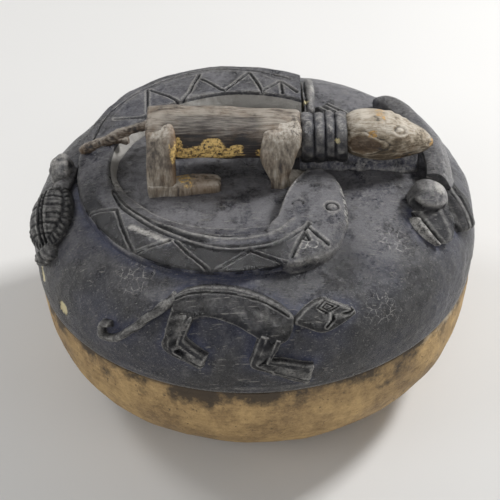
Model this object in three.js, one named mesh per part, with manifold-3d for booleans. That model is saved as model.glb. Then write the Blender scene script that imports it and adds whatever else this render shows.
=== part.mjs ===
// Lidded divination bowl: a round wooden bowl with compartments, and a domed lid carved with animals.
// Millimetres, +Z up. The origin is the centre of the flat base that the bowl rests on.
// Azimuth is measured about Z from +X; the front beast faces -Y. Tilt is the angle above the level of the
// dome's widest ring, seen from the middle of that ring.

import * as THREE from 'three';
import { mergeVertices } from 'three/addons/utils/BufferGeometryUtils.js';
import Module from 'manifold-3d';

const wasm = await Module();
wasm.setup();

// Bowl
const SEAM_RADIUS = 180; // outer radius where the bowl meets the lid
const BOWL_HEIGHT = 106; // base to seam
const BASE_TRIM = 5; // height that the flat base cuts off the bowl's curve
const BOWL_FULLNESS = 2.9; // exponent of the bowl's curve, 2 would be an ellipse
const BOWL_WALL = 14;
const FLOOR_THICKNESS = 14;

// Seat between bowl and lid
const LIP_HEIGHT = 8; // raised inner lip of the bowl that centres the lid
const LIP_THICKNESS = 6;
const LIP_CLEARANCE = 1; // play between the lip and the lid's rebate, all round
const GAP = 0.3; // clearance between pieces that touch

// Compartments
const WELL_RADIUS = 44; // inside the round compartment in the middle
const WELL_WALL = 9;
const WELL_HEIGHT = 60;
const PARTITION_COUNT = 4;
const PARTITION_THICKNESS = 9;
const PARTITION_HEIGHT = 54;
const PARTITION_START = 45; // azimuth of the first partition, degrees

// Lid
const LID_OVERHANG = 4; // the dome's widest ring stands this far outside the seam
const EDGE_TUCK = 2.5; // the lid draws in again this much down to its edge
const SHOULDER_HEIGHT = 18; // seam to the widest ring
const DOME_RISE = 70; // widest ring to crown
const DOME_FULLNESS = 3.3; // exponent of the dome's curve
const LID_WALL = 14;

// Serpent round the crown
const BAND_OUTER_HALF = [126, 134]; // half its outer size along X and Y
const BAND_OUTER_CENTRE = [-17, -0.5];
const BAND_BULGE = 10.5; // its outer edge swells this much further out at the back
const BAND_BULGE_TURN = 120; // where it swells most, as a turn about its centre, degrees
const BAND_BULGE_SPREAD = 60; // the swelling ends this many degrees to either side
const BAND_INNER_HALF = [103, 91.5];
const BAND_INNER_CENTRE = [-13, -2.5];
const BAND_RELIEF = 11; // height above the dome, halfway back
const BAND_TIP = 2.3; // its back rises towards +Y by this angle, degrees
const SERPENT_HEAD_RELIEF = 9;
const SERPENT_HEAD_OUTLINE = [
  [10, -92], [17.5, -79], [22, -63], [28, -46], [37, -29.5], [45, -19.5], [55, -15.9], [63, -21.5],
  [69, -34], [73, -53], [74, -70], [71.5, -89], [65.5, -106], [57, -118], [42, -126.8], [26, -131],
  [16, -124], [12, -108],
];
const TAIL_BAR_X = 50;
const TAIL_BAR_WIDTH = 12;
const TAIL_BAR_SPAN = [67, 127]; // its two ends along Y
const TAIL_BAR_RELIEF = 8;

// Handle animal, lying along X over the crown. Heights are above the crown.
const TRUNK_START = -84;
const TRUNK_LENGTH = 125;
const TRUNK_DEPTH = 47; // along Y
const TRUNK_THICKNESS = 38;
const TRUNK_RISE = 37; // height of its middle at the rump
const TRUNK_DROP = 8; // how much lower the middle is at the shoulder
const NECK_LENGTH = 35;
const NECK_RADIUS = 20.5;
const NECK_RISE = 25;
const NECK_RINGS = 4;
const NECK_GROOVE = 3; // depth between two rings
const HEAD_RISE = 28; // middle of the head where it is widest
const HEAD_NOSE_DROP = 12;
const HEAD_LENGTH = 71;
const HEAD_RADIUS = 20.5;
const WEB_THICKNESS = 18; // strip of wood left standing under the neck and the head
const WEB_SHORTFALL = 12; // the strip ends this far behind the nose
const NEAR_LEG_CLIMB = 0.42; // how far the near legs reach up the trunk, as a share of its thickness
const FAR_LEG_CLIMB = 0.05;
const LEG_SINK = 22; // legs are drawn this far below the crown and then cut along the dome
const FOOT_HEIGHT = 9;
const HIND_STANCE = 38; // from the middle of the trunk to the outside of a hind foot
const HIND_HIP = 28; // and to the outside of the hip
const HIND_LEG_LENGTH = 22; // along X
const HIND_FOOT_LENGTH = 58;
const FORE_STANCE = 34;
const FORE_SHOULDER = 27;
const LEG_INSIDE = 10; // the inside of every leg's top, inside the trunk before it is cut
const TAIL_THICKNESS = 10;
const TAIL_REACH = [57, 24]; // from the rump to its end, backwards along X and along Y
const TAIL_START_RISE = 5; // above the middle of the trunk
const TAIL_END_RISE = 3; // above the crown
const TAIL_BOW = 5; // how far it bows up from a straight line

// Front beast: outlines in [azimuth, tilt], degrees
const BEAST_RELIEF = 7;
const BEAST_BACK = [[-113.8, 17.6], [-112.3, 20], [-109.4, 21.4], [-103.7, 22.4], [-96.3, 22.4],
  [-90.4, 21.3], [-85.1, 19.3], [-82, 17.4], [-80.4, 15.6]];
const BEAST_BELLY = [[-112.6, 16.6], [-110, 14.9], [-107.6, 14.8], [-103.5, 16], [-97.5, 15.2],
  [-92, 13], [-87.5, 10.3], [-83.6, 10.6], [-81.2, 13.8]];
const BEAST_BROW = [[-79.9, 15.3], [-76.5, 17.4], [-72.1, 18.3], [-67.7, 16.3], [-64.8, 13.9]];
const BEAST_JAW = [[-80.3, 14.2], [-78.2, 13.1], [-74.2, 11.3], [-68.3, 12.5], [-64.9, 13.3]];
const BEAST_HIND_OUTER = [[-112.6, 16.4], [-113, 12.2], [-113.3, 7.6], [-108.8, 5.4], [-103.5, 3.2]];
const BEAST_HIND_INNER = [[-106.6, 15], [-107.2, 12.6], [-107.8, 10.8], [-105.8, 9.4], [-102, 7.4]];
const BEAST_FORE_OUTER = [[-89.6, 12.4], [-91.3, 8.6], [-92.2, 5.4], [-87.5, 2.8], [-78.3, -2.2]];
const BEAST_FORE_INNER = [[-84.2, 10.4], [-85.9, 8.2], [-86.8, 6.6], [-84, 6], [-76.9, 3.6]];
const BEAST_TAIL = [[-113.2, 18.3], [-117.6, 14], [-122.1, 9.4], [-127, 5], [-130.4, 4.4],
  [-130.6, 7.4], [-128, 8.4]];
const BEAST_TAIL_WIDTH = 8;

// Tortoise climbing the left side
const TORTOISE_PLACE = [-168.4, 15.8];
const TORTOISE_LENGTH = 68;
const TORTOISE_WIDTH = 42;
const TORTOISE_HEIGHT = 14;
const TORTOISE_CLIMB = 17; // the shell's long axis above level, degrees
const TORTOISE_HEAD_PLACE = [175, 21.3];
const TORTOISE_HEAD_HALF = [17, 9.8, 11.2]; // half its size level, up the dome and away from it
const TORTOISE_HEAD_LIFT = 11; // middle of the head above the dome
const TORTOISE_FOOT = [[-157.6, 13.4], [-160.6, 8.4]];
const TORTOISE_FOOT_WIDTH = 16;
const TORTOISE_FOOT_RELIEF = 8;

// Bird lying round the right shoulder, its bill pointing down
const BIRD_SPINE = [[40.5, 22.2], [25, 22.3], [10, 21.6], [-2, 21], [-9, 20.7]];
const BIRD_WIDTH = 37;
const BIRD_HEIGHT = 16;
const BIRD_HEAD_PLACE = [-18.6, 23.4];
const BIRD_HEAD_RADIUS = 16;
const BIRD_HEAD_LIFT = 9;
const BIRD_BILL_TIP = [-29.4, 15.2];
const BIRD_BILL_LIFT = 8;
const BIRD_BILL_WIDTH = 17;
const BIRD_WING_OUTER = [[-4, 18.4], [-5.4, 16.8], [-7.4, 14.4], [-11, 12], [-15.6, 10.4]];
const BIRD_WING_INNER = [[-11.1, 20.3], [-14.4, 19], [-17.2, 17.2], [-20, 15], [-21, 13]];
const BIRD_WING_RELIEF = 8;

// Facets
const ROUND = 48; // round the bowl and the lid
const CURVE_STEPS = 10; // along the bowl's and the dome's curve
const LIMB_SIDES = 12;
const RELIEF_STEPS = 8;
const SINK = 5; // reliefs are drawn this far into the dome and then cut along it

// Worked out from the sizes above
const SEAM_Z = BOWL_HEIGHT;
const DOME_RADIUS = SEAM_RADIUS + LID_OVERHANG;
const DOME_MIDDLE_Z = SEAM_Z + SHOULDER_HEIGHT;
const CROWN_Z = DOME_MIDDLE_Z + DOME_RISE;
const CAVITY_RADIUS = SEAM_RADIUS - BOWL_WALL;
const TRUNK_END = TRUNK_START + TRUNK_LENGTH;
const NECK_START = TRUNK_END + GAP;
const NECK_END = NECK_START + NECK_LENGTH;
const HEAD_START = NECK_END + GAP;
const HEAD_END = HEAD_START + HEAD_LENGTH;

// Solids and meshes

/** A closed three.js geometry as a solid: shared corners merged, empty faces dropped, faces pointing out. */
function solid(geometry) {
  const bare = geometry.clone();
  bare.deleteAttribute('normal');
  bare.deleteAttribute('uv');
  const merged = mergeVertices(bare, 1e-4);
  const corners = merged.index.array;
  const kept = [];
  for (let i = 0; i < corners.length; i += 3) {
    const [a, b, c] = [corners[i], corners[i + 1], corners[i + 2]];
    if (a !== b && b !== c && c !== a) kept.push(a, b, c);
  }
  const place = merged.attributes.position;
  const corner = (i) => new THREE.Vector3().fromBufferAttribute(place, i);
  let volume = 0;
  for (let i = 0; i < kept.length; i += 3) {
    volume += corner(kept[i]).dot(corner(kept[i + 1]).cross(corner(kept[i + 2])));
  }
  if (volume < 0) kept.reverse();
  const [vertProperties, triVerts] = [new Float32Array(place.array), new Uint32Array(kept)];
  return new wasm.Manifold(new wasm.Mesh({ numProp: 3, vertProperties, triVerts }));
}

/** A solid with every solid in the list cut away. */
function without(body, cutters) {
  return cutters.reduce((left, cutter) => left.subtract(cutter), body);
}

/** The main body of a cut solid, without the slivers that a cut can leave. */
function mainBody(body) {
  return body.decompose().reduce((largest, part) => (part.volume() > largest.volume() ? part : largest));
}

/** A named mesh of a solid. */
function piece(name, body, finish) {
  const { vertProperties, triVerts } = mainBody(body).getMesh();
  const geometry = new THREE.BufferGeometry();
  geometry.setAttribute('position', new THREE.BufferAttribute(new Float32Array(vertProperties), 3));
  geometry.setIndex(new THREE.BufferAttribute(new Uint32Array(triVerts), 1));
  geometry.computeVertexNormals();
  const mesh = new THREE.Mesh(geometry, finish);
  mesh.name = name;
  return mesh;
}

/** A profile of [radius, height] pairs turned about Z. */
function turned(profile, sides = ROUND) {
  const points = profile.map(([radius, height]) => new THREE.Vector2(radius, height));
  return solid(new THREE.LatheGeometry(points, sides).rotateX(Math.PI / 2));
}

/** A closed outline of [x, y] pairs as a prism between two heights. */
function prism(outline, low, high) {
  const shape = new THREE.Shape(outline.map(([x, y]) => new THREE.Vector2(x, y)));
  const geometry = new THREE.ExtrudeGeometry(shape, { depth: high - low, bevelEnabled: false });
  return solid(geometry.translate(0, 0, low));
}

/** A box between two corners. */
function box([x0, y0, z0], [x1, y1, z1]) {
  const geometry = new THREE.BoxGeometry(x1 - x0, y1 - y0, z1 - z0);
  return solid(geometry.translate((x0 + x1) / 2, (y0 + y1) / 2, (z0 + z1) / 2));
}

/** A skin over rings of equally many points, closed with a flat face at each end. */
function loft(rings) {
  const sides = rings[0].length;
  const index = [];
  for (let ring = 0; ring + 1 < rings.length; ring += 1) {
    for (let side = 0; side < sides; side += 1) {
      const next = (side + 1) % sides;
      const [a, b] = [ring * sides + side, ring * sides + next];
      index.push(a, b, b + sides, a, b + sides, a + sides);
    }
  }
  const last = (rings.length - 1) * sides;
  for (let side = 1; side + 1 < sides; side += 1) {
    index.push(0, side + 1, side, last, last + side, last + side + 1);
  }
  const geometry = new THREE.BufferGeometry().setFromPoints(rings.flat());
  geometry.setIndex(index);
  return solid(geometry);
}

/** Points evenly along a smooth curve through [a, b] pairs. */
function smooth(pairs, steps, closed = false) {
  const curve = new THREE.CatmullRomCurve3(pairs.map(([a, b]) => new THREE.Vector3(a, b, 0)), closed);
  return curve.getPoints(steps).map((point) => [point.x, point.y]);
}

/** The height and reach of a full-bellied curve at each step from its widest ring to its axis. */
function bellyCurve(reach, rise, fullness, steps = CURVE_STEPS) {
  return Array.from({ length: steps + 1 }, (_, step) => {
    const turn = (step / steps) * (Math.PI / 2);
    const across = step === steps ? 0 : reach * Math.cos(turn) ** (2 / fullness);
    return [across, rise * Math.sin(turn) ** (2 / fullness)];
  });
}

/** The same curve followed only as far as a given height, where it is cut level. */
function bellyCurveTo(reach, rise, fullness, height) {
  const last = Math.asin(Math.min(1, height / rise) ** (fullness / 2));
  return Array.from({ length: CURVE_STEPS + 1 }, (_, step) => {
    const turn = (step / CURVE_STEPS) * last;
    return [reach * Math.cos(turn) ** (2 / fullness), rise * Math.sin(turn) ** (2 / fullness)];
  });
}

// The dome, which every relief follows

/** The lid's outer form as a full solid, grown by some height. */
function domeSolid(grow = 0) {
  const top = bellyCurve(DOME_RADIUS + grow, DOME_RISE + grow, DOME_FULLNESS)
    .map(([across, rise]) => [across, DOME_MIDDLE_Z + rise]);
  const edge = DOME_RADIUS - EDGE_TUCK + grow;
  return turned([[0, SEAM_Z + GAP], [edge, SEAM_Z + GAP], ...top]);
}

/** A point at [azimuth, tilt] in degrees, some height above the dome. */
function onDome([azimuth, tilt], height = 0) {
  const around = THREE.MathUtils.degToRad(azimuth);
  const up = THREE.MathUtils.degToRad(tilt);
  const rise = Math.max(0, Math.sin(up)) / DOME_RISE;
  const reach = Math.cos(up) / DOME_RADIUS;
  const surface = (rise ** DOME_FULLNESS + reach ** DOME_FULLNESS) ** (-1 / DOME_FULLNESS);
  const away = surface + height;
  const level = away * Math.cos(up);
  return new THREE.Vector3(
    level * Math.cos(around), level * Math.sin(around), DOME_MIDDLE_Z + away * Math.sin(up),
  );
}

/** A shape kept only where it stands on the dome, cut along it and no higher than a relief. */
function onlyRelief(shape, relief) {
  return shape.intersect(domeSolid(relief)).subtract(domeSolid(GAP));
}

/** A relief between two edges, with sloping sides. Grow widens and lengthens it to cut a neighbour. */
function reliefSlab(edgeA, edgeB, relief, grow = 0) {
  const [lineA, lineB] = [smooth(edgeA, RELIEF_STEPS), smooth(edgeB, RELIEF_STEPS)];
  const rings = lineA.map((pairA, step) => {
    const across = (share, height) => {
      const pair = [0, 1].map((axis) => THREE.MathUtils.lerp(pairA[axis], lineB[step][axis], share));
      return onDome(pair, height);
    };
    const spread = grow / across(0, 0).distanceTo(across(1, 0));
    const [top, shoulder] = [relief + grow, relief * 0.55 + grow];
    return [
      across(-spread, -SINK), across(-spread, shoulder), across(0.14 - spread, top),
      across(0.86 + spread, top), across(1 + spread, shoulder), across(1 + spread, -SINK),
    ];
  });
  if (grow > 0) lengthen(rings, grow);
  return loft(rings);
}

/** Moves the first and the last ring of a loft outwards along the loft. */
function lengthen(rings, distance) {
  const push = (ring, inner) => ring.forEach((point, side) => {
    point.add(point.clone().sub(inner[side]).setLength(distance));
  });
  push(rings[0], rings[1]);
  push(rings.at(-1), rings.at(-2));
}

/** A relief of even width along a line on the dome. */
function reliefStrip(line, width, relief, grow = 0) {
  const middle = smooth(line, RELIEF_STEPS * 2).map((pair) => ({ pair, point: onDome(pair) }));
  const rings = middle.map(({ point, pair }, step) => {
    const before = middle[Math.max(0, step - 1)].point;
    const after = middle[Math.min(middle.length - 1, step + 1)].point;
    const along = after.clone().sub(before).normalize();
    const up = onDome(pair, 1).sub(point).normalize();
    const side = along.clone().cross(up).normalize();
    const at = (across, height) => point.clone().addScaledVector(side, across).addScaledVector(up, height);
    const half = width / 2 + grow;
    return [
      at(-half, -SINK), at(-half, relief * 0.5 + grow), at(-half * 0.5, relief + grow),
      at(half * 0.5, relief + grow), at(half, relief * 0.5 + grow), at(half, -SINK),
    ];
  });
  if (grow > 0) lengthen(rings, grow);
  return loft(rings);
}

/** A rounded boss on the dome: half an ellipsoid standing at a place, turned by some degrees from level. */
function boss(place, length, width, height, turn = 0, grow = 0) {
  const geometry = new THREE.SphereGeometry(1, LIMB_SIDES + 4, LIMB_SIDES);
  geometry.scale(length / 2 + grow, width / 2 + grow, height + grow);
  geometry.rotateZ(THREE.MathUtils.degToRad(turn));
  return solid(geometry.applyMatrix4(standingOnDome(place)));
}

/** The frame of a place on the dome: X level round the dome, Y up the dome, Z away from it. */
function standingOnDome(place, height = 0) {
  const step = 0.5;
  const middle = onDome(place, height);
  const level = onDome([place[0] + step, place[1]], height).sub(middle).normalize();
  const climb = onDome([place[0], place[1] + step], height).sub(middle).normalize();
  const away = level.clone().cross(climb).normalize();
  return new THREE.Matrix4().makeBasis(level, away.clone().cross(level), away).setPosition(middle);
}

/** A round-sided bar along X through stations of [x, middle height, half depth, half height]. */
function alongX(stations, grow = 0, sides = LIMB_SIDES) {
  const rings = stations.map(([x, z, halfDepth, halfHeight], station) => {
    const outward = station === 0 ? -grow : station === stations.length - 1 ? grow : 0;
    return Array.from({ length: sides }, (_, side) => {
      const turn = ((side + 0.5) / sides) * 2 * Math.PI;
      const y = (halfDepth + grow) * Math.cos(turn);
      return new THREE.Vector3(x + outward, y, z + (halfHeight + grow) * Math.sin(turn));
    });
  });
  return loft(rings);
}

/** A leg or foot through level or upright four-cornered sections, each a list of [x, y, z]. */
function block(sections) {
  return loft(sections.map((section) => section.map(([x, y, z]) => new THREE.Vector3(x, y, z))));
}

// Bowl

/** The curve of the bowl's inner wall from its rim down to the floor, drawn in by a gap. */
function cavityCurve(gap = 0) {
  const depth = BOWL_HEIGHT - FLOOR_THICKNESS;
  return bellyCurveTo(CAVITY_RADIUS, depth + BASE_TRIM, BOWL_FULLNESS, depth)
    .map(([across, down]) => [across - gap, SEAM_Z - down + gap]);
}

function bowlShell() {
  const outer = bellyCurveTo(SEAM_RADIUS, BOWL_HEIGHT + BASE_TRIM, BOWL_FULLNESS, BOWL_HEIGHT)
    .map(([across, depth]) => [across, SEAM_Z - depth]).reverse();
  const lipRadius = CAVITY_RADIUS + LIP_THICKNESS;
  const lip = [[lipRadius, SEAM_Z], [lipRadius, SEAM_Z + LIP_HEIGHT], [CAVITY_RADIUS, SEAM_Z + LIP_HEIGHT]];
  return turned([[0, 0], ...outer, ...lip, ...cavityCurve(), [0, FLOOR_THICKNESS]]);
}

/** The space inside the bowl, kept clear of its wall and floor. */
function bowlSpace() {
  return turned([[0, FLOOR_THICKNESS + GAP], ...cavityCurve(GAP).reverse(), [0, SEAM_Z + GAP]]);
}

function centreWellRing(grow = 0) {
  const [inside, outside] = [WELL_RADIUS - grow, WELL_RADIUS + WELL_WALL + grow];
  const [low, high] = [FLOOR_THICKNESS + GAP - grow, FLOOR_THICKNESS + WELL_HEIGHT + grow];
  return turned([[inside, low], [outside, low], [outside, high], [inside, high], [inside, low]]);
}

function partition(number) {
  const [half, top] = [PARTITION_THICKNESS / 2, FLOOR_THICKNESS + PARTITION_HEIGHT];
  const plate = box([WELL_RADIUS, -half, 0], [SEAM_RADIUS, half, top]);
  const azimuth = PARTITION_START + (number * 360) / PARTITION_COUNT;
  const turnedPlate = plate.rotate([0, 0, azimuth]);
  const clear = WELL_RADIUS + WELL_WALL + GAP;
  const filledWell = turned([[0, 0], [clear, 0], [clear, SEAM_Z], [0, SEAM_Z]]);
  return turnedPlate.intersect(bowlSpace()).subtract(filledWell);
}

// Lid

function lidDome() {
  const rebateRadius = CAVITY_RADIUS + LIP_THICKNESS + LIP_CLEARANCE;
  const rebateTop = SEAM_Z + LIP_HEIGHT + LIP_CLEARANCE;
  const hollow = bellyCurve(DOME_RADIUS - LID_WALL, DOME_RISE - LID_WALL, DOME_FULLNESS, CURVE_STEPS - 2)
    .map(([across, rise]) => [across, DOME_MIDDLE_Z + rise]);
  const inner = turned([[0, rebateTop], [hollow[0][0], rebateTop], ...hollow]);
  const below = SEAM_Z - 1;
  const rebate = turned([[0, below], [rebateRadius, below], [rebateRadius, rebateTop], [0, rebateTop]]);
  return without(domeSolid(), [inner.add(rebate)]);
}

// Serpent

/** A closed outline moved outwards by a distance. */
function spread(outline, distance) {
  const count = outline.length;
  return outline.map(([x, y], corner) => {
    const [before, after] = [outline[(corner + count - 1) % count], outline[(corner + 1) % count]];
    const along = new THREE.Vector2(after[0] - before[0], after[1] - before[1]).setLength(distance);
    return [x - along.y, y + along.x];
  });
}

/** The upright block that the serpent's head is carved from. */
function serpentHeadBlock(grow = 0) {
  const outline = smooth(SERPENT_HEAD_OUTLINE, SERPENT_HEAD_OUTLINE.length * 2, true).slice(0, -1);
  return prism(spread(outline, grow), DOME_MIDDLE_Z, CROWN_Z + SERPENT_HEAD_RELIEF + BAND_RELIEF);
}

function serpentHead() {
  return onlyRelief(serpentHeadBlock(), SERPENT_HEAD_RELIEF);
}

/** The upright block that the bar across the end of the serpent's tail is carved from. */
function tailBarBlock(grow = 0) {
  const half = TAIL_BAR_WIDTH / 2 + grow;
  const low = [TAIL_BAR_X - half, TAIL_BAR_SPAN[0] - grow, DOME_MIDDLE_Z];
  return box(low, [TAIL_BAR_X + half, TAIL_BAR_SPAN[1] + grow, CROWN_Z + TAIL_BAR_RELIEF + BAND_RELIEF]);
}

function tailBar() {
  return onlyRelief(tailBarBlock(), TAIL_BAR_RELIEF);
}

/** An upright oval block over the dome, swelling by a bulge at the back. */
function ovalBlock([centreX, centreY], [halfX, halfY], bulge = 0) {
  const outline = Array.from({ length: ROUND }, (_, step) => {
    const turn = (step / ROUND) * 360;
    const off = THREE.MathUtils.clamp((turn - BAND_BULGE_TURN) / BAND_BULGE_SPREAD, -1, 1);
    const extra = bulge * Math.cos((off * Math.PI) / 2) ** 2;
    const angle = THREE.MathUtils.degToRad(turn);
    return [centreX + (halfX + extra) * Math.cos(angle), centreY + (halfY + extra) * Math.sin(angle)];
  });
  return prism(outline, DOME_MIDDLE_Z, CROWN_Z + BAND_RELIEF * 3);
}

/** The height that the serpent's back reaches: the dome grown, and tipped up at the back. */
function bandTop(relief) {
  return domeSolid(relief).translate([0, 0, -DOME_MIDDLE_Z]).rotate([BAND_TIP, 0, 0])
    .translate([0, 0, DOME_MIDDLE_Z]);
}

/** The serpent's body: a broad flat ring, open between the head and the tail bar. */
function serpentBand(grow = 0) {
  const outer = ovalBlock(BAND_OUTER_CENTRE, BAND_OUTER_HALF.map((half) => half + grow), BAND_BULGE);
  const inner = ovalBlock(BAND_INNER_CENTRE, BAND_INNER_HALF.map((half) => half - grow));
  const far = DOME_RADIUS * 2;
  const openSide = box([TAIL_BAR_X, 0, 0], [far, far, far])
    .add(box([SERPENT_HEAD_OUTLINE[2][0], -far, 0], [far, GAP, far]));
  const ring = outer.intersect(bandTop(BAND_RELIEF + grow));
  return without(ring, [inner, openSide, domeSolid(GAP), serpentHeadBlock(GAP), tailBarBlock(GAP)]);
}

// Handle animal

function handleTrunk(grow = 0) {
  const profile = [[0, 0.86], [0.03, 0.98], [0.3, 1], [0.7, 0.98], [0.96, 0.92], [1, 0.8]];
  return alongX(profile.map(([share, full]) => [
    TRUNK_START + share * TRUNK_LENGTH, CROWN_Z + TRUNK_RISE - share * TRUNK_DROP,
    (full * TRUNK_DEPTH) / 2, (full * TRUNK_THICKNESS) / 2,
  ]), grow);
}

function handleNeck(grow = 0) {
  const stations = [];
  for (let half = 0; half <= NECK_RINGS * 2; half += 1) {
    const x = NECK_START + (half * NECK_LENGTH) / (NECK_RINGS * 2);
    const radius = half % 2 ? NECK_RADIUS : NECK_RADIUS - NECK_GROOVE;
    stations.push([x, CROWN_Z + NECK_RISE, radius, radius]);
  }
  return alongX(stations, grow);
}

function handleHead(grow = 0) {
  const profile = [[0, 0.62], [0.08, 0.82], [0.2, 0.96], [0.38, 1],
    [0.6, 0.86], [0.8, 0.55], [0.94, 0.3], [1, 0.14]];
  return alongX(profile.map(([share, full]) => [
    HEAD_START + share * HEAD_LENGTH, CROWN_Z + HEAD_RISE - HEAD_NOSE_DROP * share ** 1.6,
    full * HEAD_RADIUS, full * HEAD_RADIUS,
  ]), grow);
}

/** The strip of wood under the neck and the head, down to the dome. */
function neckWeb() {
  const half = WEB_THICKNESS / 2;
  const end = HEAD_END - WEB_SHORTFALL;
  const plate = box([NECK_START, -half, DOME_MIDDLE_Z], [end, half, CROWN_Z + NECK_RISE]);
  return without(plate, [handleNeck(GAP), handleHead(GAP), birdBody(GAP), domeSolid(GAP), aboveAxis()]);
}

/** Everything above the middle of the neck and the head, which the strip under them keeps out of. */
function aboveAxis() {
  const far = DOME_RADIUS * 2;
  const [near, rear] = [CROWN_Z + NECK_RISE - NECK_RADIUS / 2, CROWN_Z + HEAD_RISE - HEAD_NOSE_DROP];
  const low = Math.min(near, rear);
  const neckPart = box([0, -far, near], [HEAD_START + HEAD_LENGTH / 2, far, far]);
  return neckPart.add(box([HEAD_START + HEAD_LENGTH / 2, -far, low], [far, far, far]));
}

/** Four corners of a level section of a leg. */
function level(x0, x1, y0, y1, height) {
  const z = CROWN_Z + height;
  return [[x0, y0, z], [x1, y0, z], [x1, y1, z], [x0, y1, z]];
}

/** Four corners of an upright section of a foot, across the foot's run along X. */
function upright(x, y0, y1, top) {
  const [low, high] = [CROWN_Z - LEG_SINK, CROWN_Z + top];
  return [[x, y0, low], [x, y1, low], [x, y1, high], [x, y0, high]];
}

/** A hind leg with its foot lying forwards. Side is -1 towards the front and 1 towards the back. */
function hindLeg(side, climb) {
  const [back, front] = [TRUNK_START, TRUNK_START + HIND_LEG_LENGTH];
  const top = TRUNK_RISE + TRUNK_THICKNESS * climb;
  const shank = block([
    level(back + 1, front, side * (HIND_STANCE - 9), side * (LEG_INSIDE + 2), -LEG_SINK),
    level(back, front, side * HIND_STANCE, side * LEG_INSIDE * 2, -LEG_SINK * 0.2),
    level(back, front, side * (HIND_STANCE - 4), side * (LEG_INSIDE + 8), top * 0.35),
    level(back + 1, front, side * HIND_HIP, side * LEG_INSIDE, top * 0.91),
    level(back + 3, front - 2, side * (HIND_HIP - 6), side * LEG_INSIDE, top),
  ]);
  const foot = block([
    upright(back + 1, side * HIND_STANCE, side * (HIND_STANCE - 14), FOOT_HEIGHT),
    upright(back + HIND_FOOT_LENGTH * 0.6, side * HIND_STANCE, side * (HIND_STANCE - 19), FOOT_HEIGHT),
    upright(back + HIND_FOOT_LENGTH, side * (HIND_STANCE - 3), side * (HIND_STANCE - 18), FOOT_HEIGHT * 0.7),
  ]);
  return without(shank.add(foot), [handleTrunk(GAP), domeSolid(GAP)]);
}

/** A fore leg, broad at the shoulder and drawn in to a small foot. */
function foreLeg(side, climb) {
  const shoulder = TRUNK_END;
  const top = TRUNK_RISE - TRUNK_DROP + TRUNK_THICKNESS * climb;
  const shank = block([
    level(shoulder - 26, shoulder - 12, side * FORE_STANCE, side * LEG_INSIDE * 2, -LEG_SINK),
    level(shoulder - 26, shoulder - 12, side * FORE_STANCE, side * LEG_INSIDE * 2, 0),
    level(shoulder - 34, shoulder - 6, side * (FORE_STANCE - 2), side * (LEG_INSIDE + 6), top * 0.55),
    level(shoulder - 31, shoulder - 1, side * FORE_SHOULDER, side * LEG_INSIDE, top * 0.88),
    level(shoulder - 27, shoulder - 2, side * (FORE_SHOULDER - 6), side * LEG_INSIDE, top),
  ]);
  const foot = block([
    upright(shoulder - 24, side * FORE_STANCE, side * (FORE_STANCE - 13), FOOT_HEIGHT),
    upright(shoulder - 8, side * (FORE_STANCE - 3), side * (FORE_STANCE - 17), FOOT_HEIGHT),
    upright(shoulder + 2, side * (FORE_STANCE - 8), side * (FORE_STANCE - 21), FOOT_HEIGHT * 0.7),
  ]);
  const shape = shank.add(foot);
  return without(shape, [handleTrunk(GAP), handleNeck(GAP), domeSolid(GAP), serpentHeadBlock(GAP)]);
}

/** The tail, from the rump down to the serpent's back. */
function handleTail() {
  const start = new THREE.Vector3(TRUNK_START - GAP, 0, CROWN_Z + TRUNK_RISE + TAIL_START_RISE);
  const end = new THREE.Vector3(TRUNK_START - TAIL_REACH[0], TAIL_REACH[1], CROWN_Z + TAIL_END_RISE);
  const bowed = start.clone().lerp(end, 0.5).add(new THREE.Vector3(0, 0, TAIL_BOW));
  const path = new THREE.QuadraticBezierCurve3(start, bowed, end);
  const section = new THREE.Shape().absarc(0, 0, TAIL_THICKNESS / 2, 0, 2 * Math.PI);
  const geometry = new THREE.ExtrudeGeometry(section, { steps: 8, curveSegments: 8, extrudePath: path });
  return without(solid(geometry), [handleTrunk(GAP), domeSolid(GAP), serpentBand(GAP)]);
}

// Front beast

function beastBody(grow = 0) {
  return reliefSlab(BEAST_BACK, BEAST_BELLY, BEAST_RELIEF, grow);
}

/** The head or a pair of legs, between two outlines. */
function beastPart(edgeA, edgeB) {
  return without(reliefSlab(edgeA, edgeB, BEAST_RELIEF), [beastBody(GAP), domeSolid(GAP)]);
}

function beastTail() {
  const strip = reliefStrip(BEAST_TAIL, BEAST_TAIL_WIDTH, BEAST_RELIEF);
  return without(strip, [beastBody(GAP), domeSolid(GAP)]);
}

// Tortoise

function tortoiseShell(grow = 0) {
  return boss(TORTOISE_PLACE, TORTOISE_LENGTH, TORTOISE_WIDTH, TORTOISE_HEIGHT, -TORTOISE_CLIMB, grow);
}

function tortoiseHead() {
  const ball = new THREE.SphereGeometry(1, LIMB_SIDES, LIMB_SIDES - 4).scale(...TORTOISE_HEAD_HALF);
  const knob = solid(ball.applyMatrix4(standingOnDome(TORTOISE_HEAD_PLACE, TORTOISE_HEAD_LIFT)));
  return without(knob, [domeSolid(GAP), tortoiseShell(GAP), serpentBand(GAP)]);
}

function tortoiseFoot() {
  const foot = reliefStrip(TORTOISE_FOOT, TORTOISE_FOOT_WIDTH, TORTOISE_FOOT_RELIEF);
  return without(foot, [domeSolid(GAP), tortoiseShell(GAP)]);
}

// Bird

function birdBody(grow = 0) {
  return reliefStrip(BIRD_SPINE, BIRD_WIDTH, BIRD_HEIGHT, grow);
}

function birdHead(grow = 0) {
  const ball = new THREE.SphereGeometry(BIRD_HEAD_RADIUS + grow, LIMB_SIDES, LIMB_SIDES - 2);
  return solid(ball.applyMatrix4(standingOnDome(BIRD_HEAD_PLACE, BIRD_HEAD_LIFT)));
}

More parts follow.
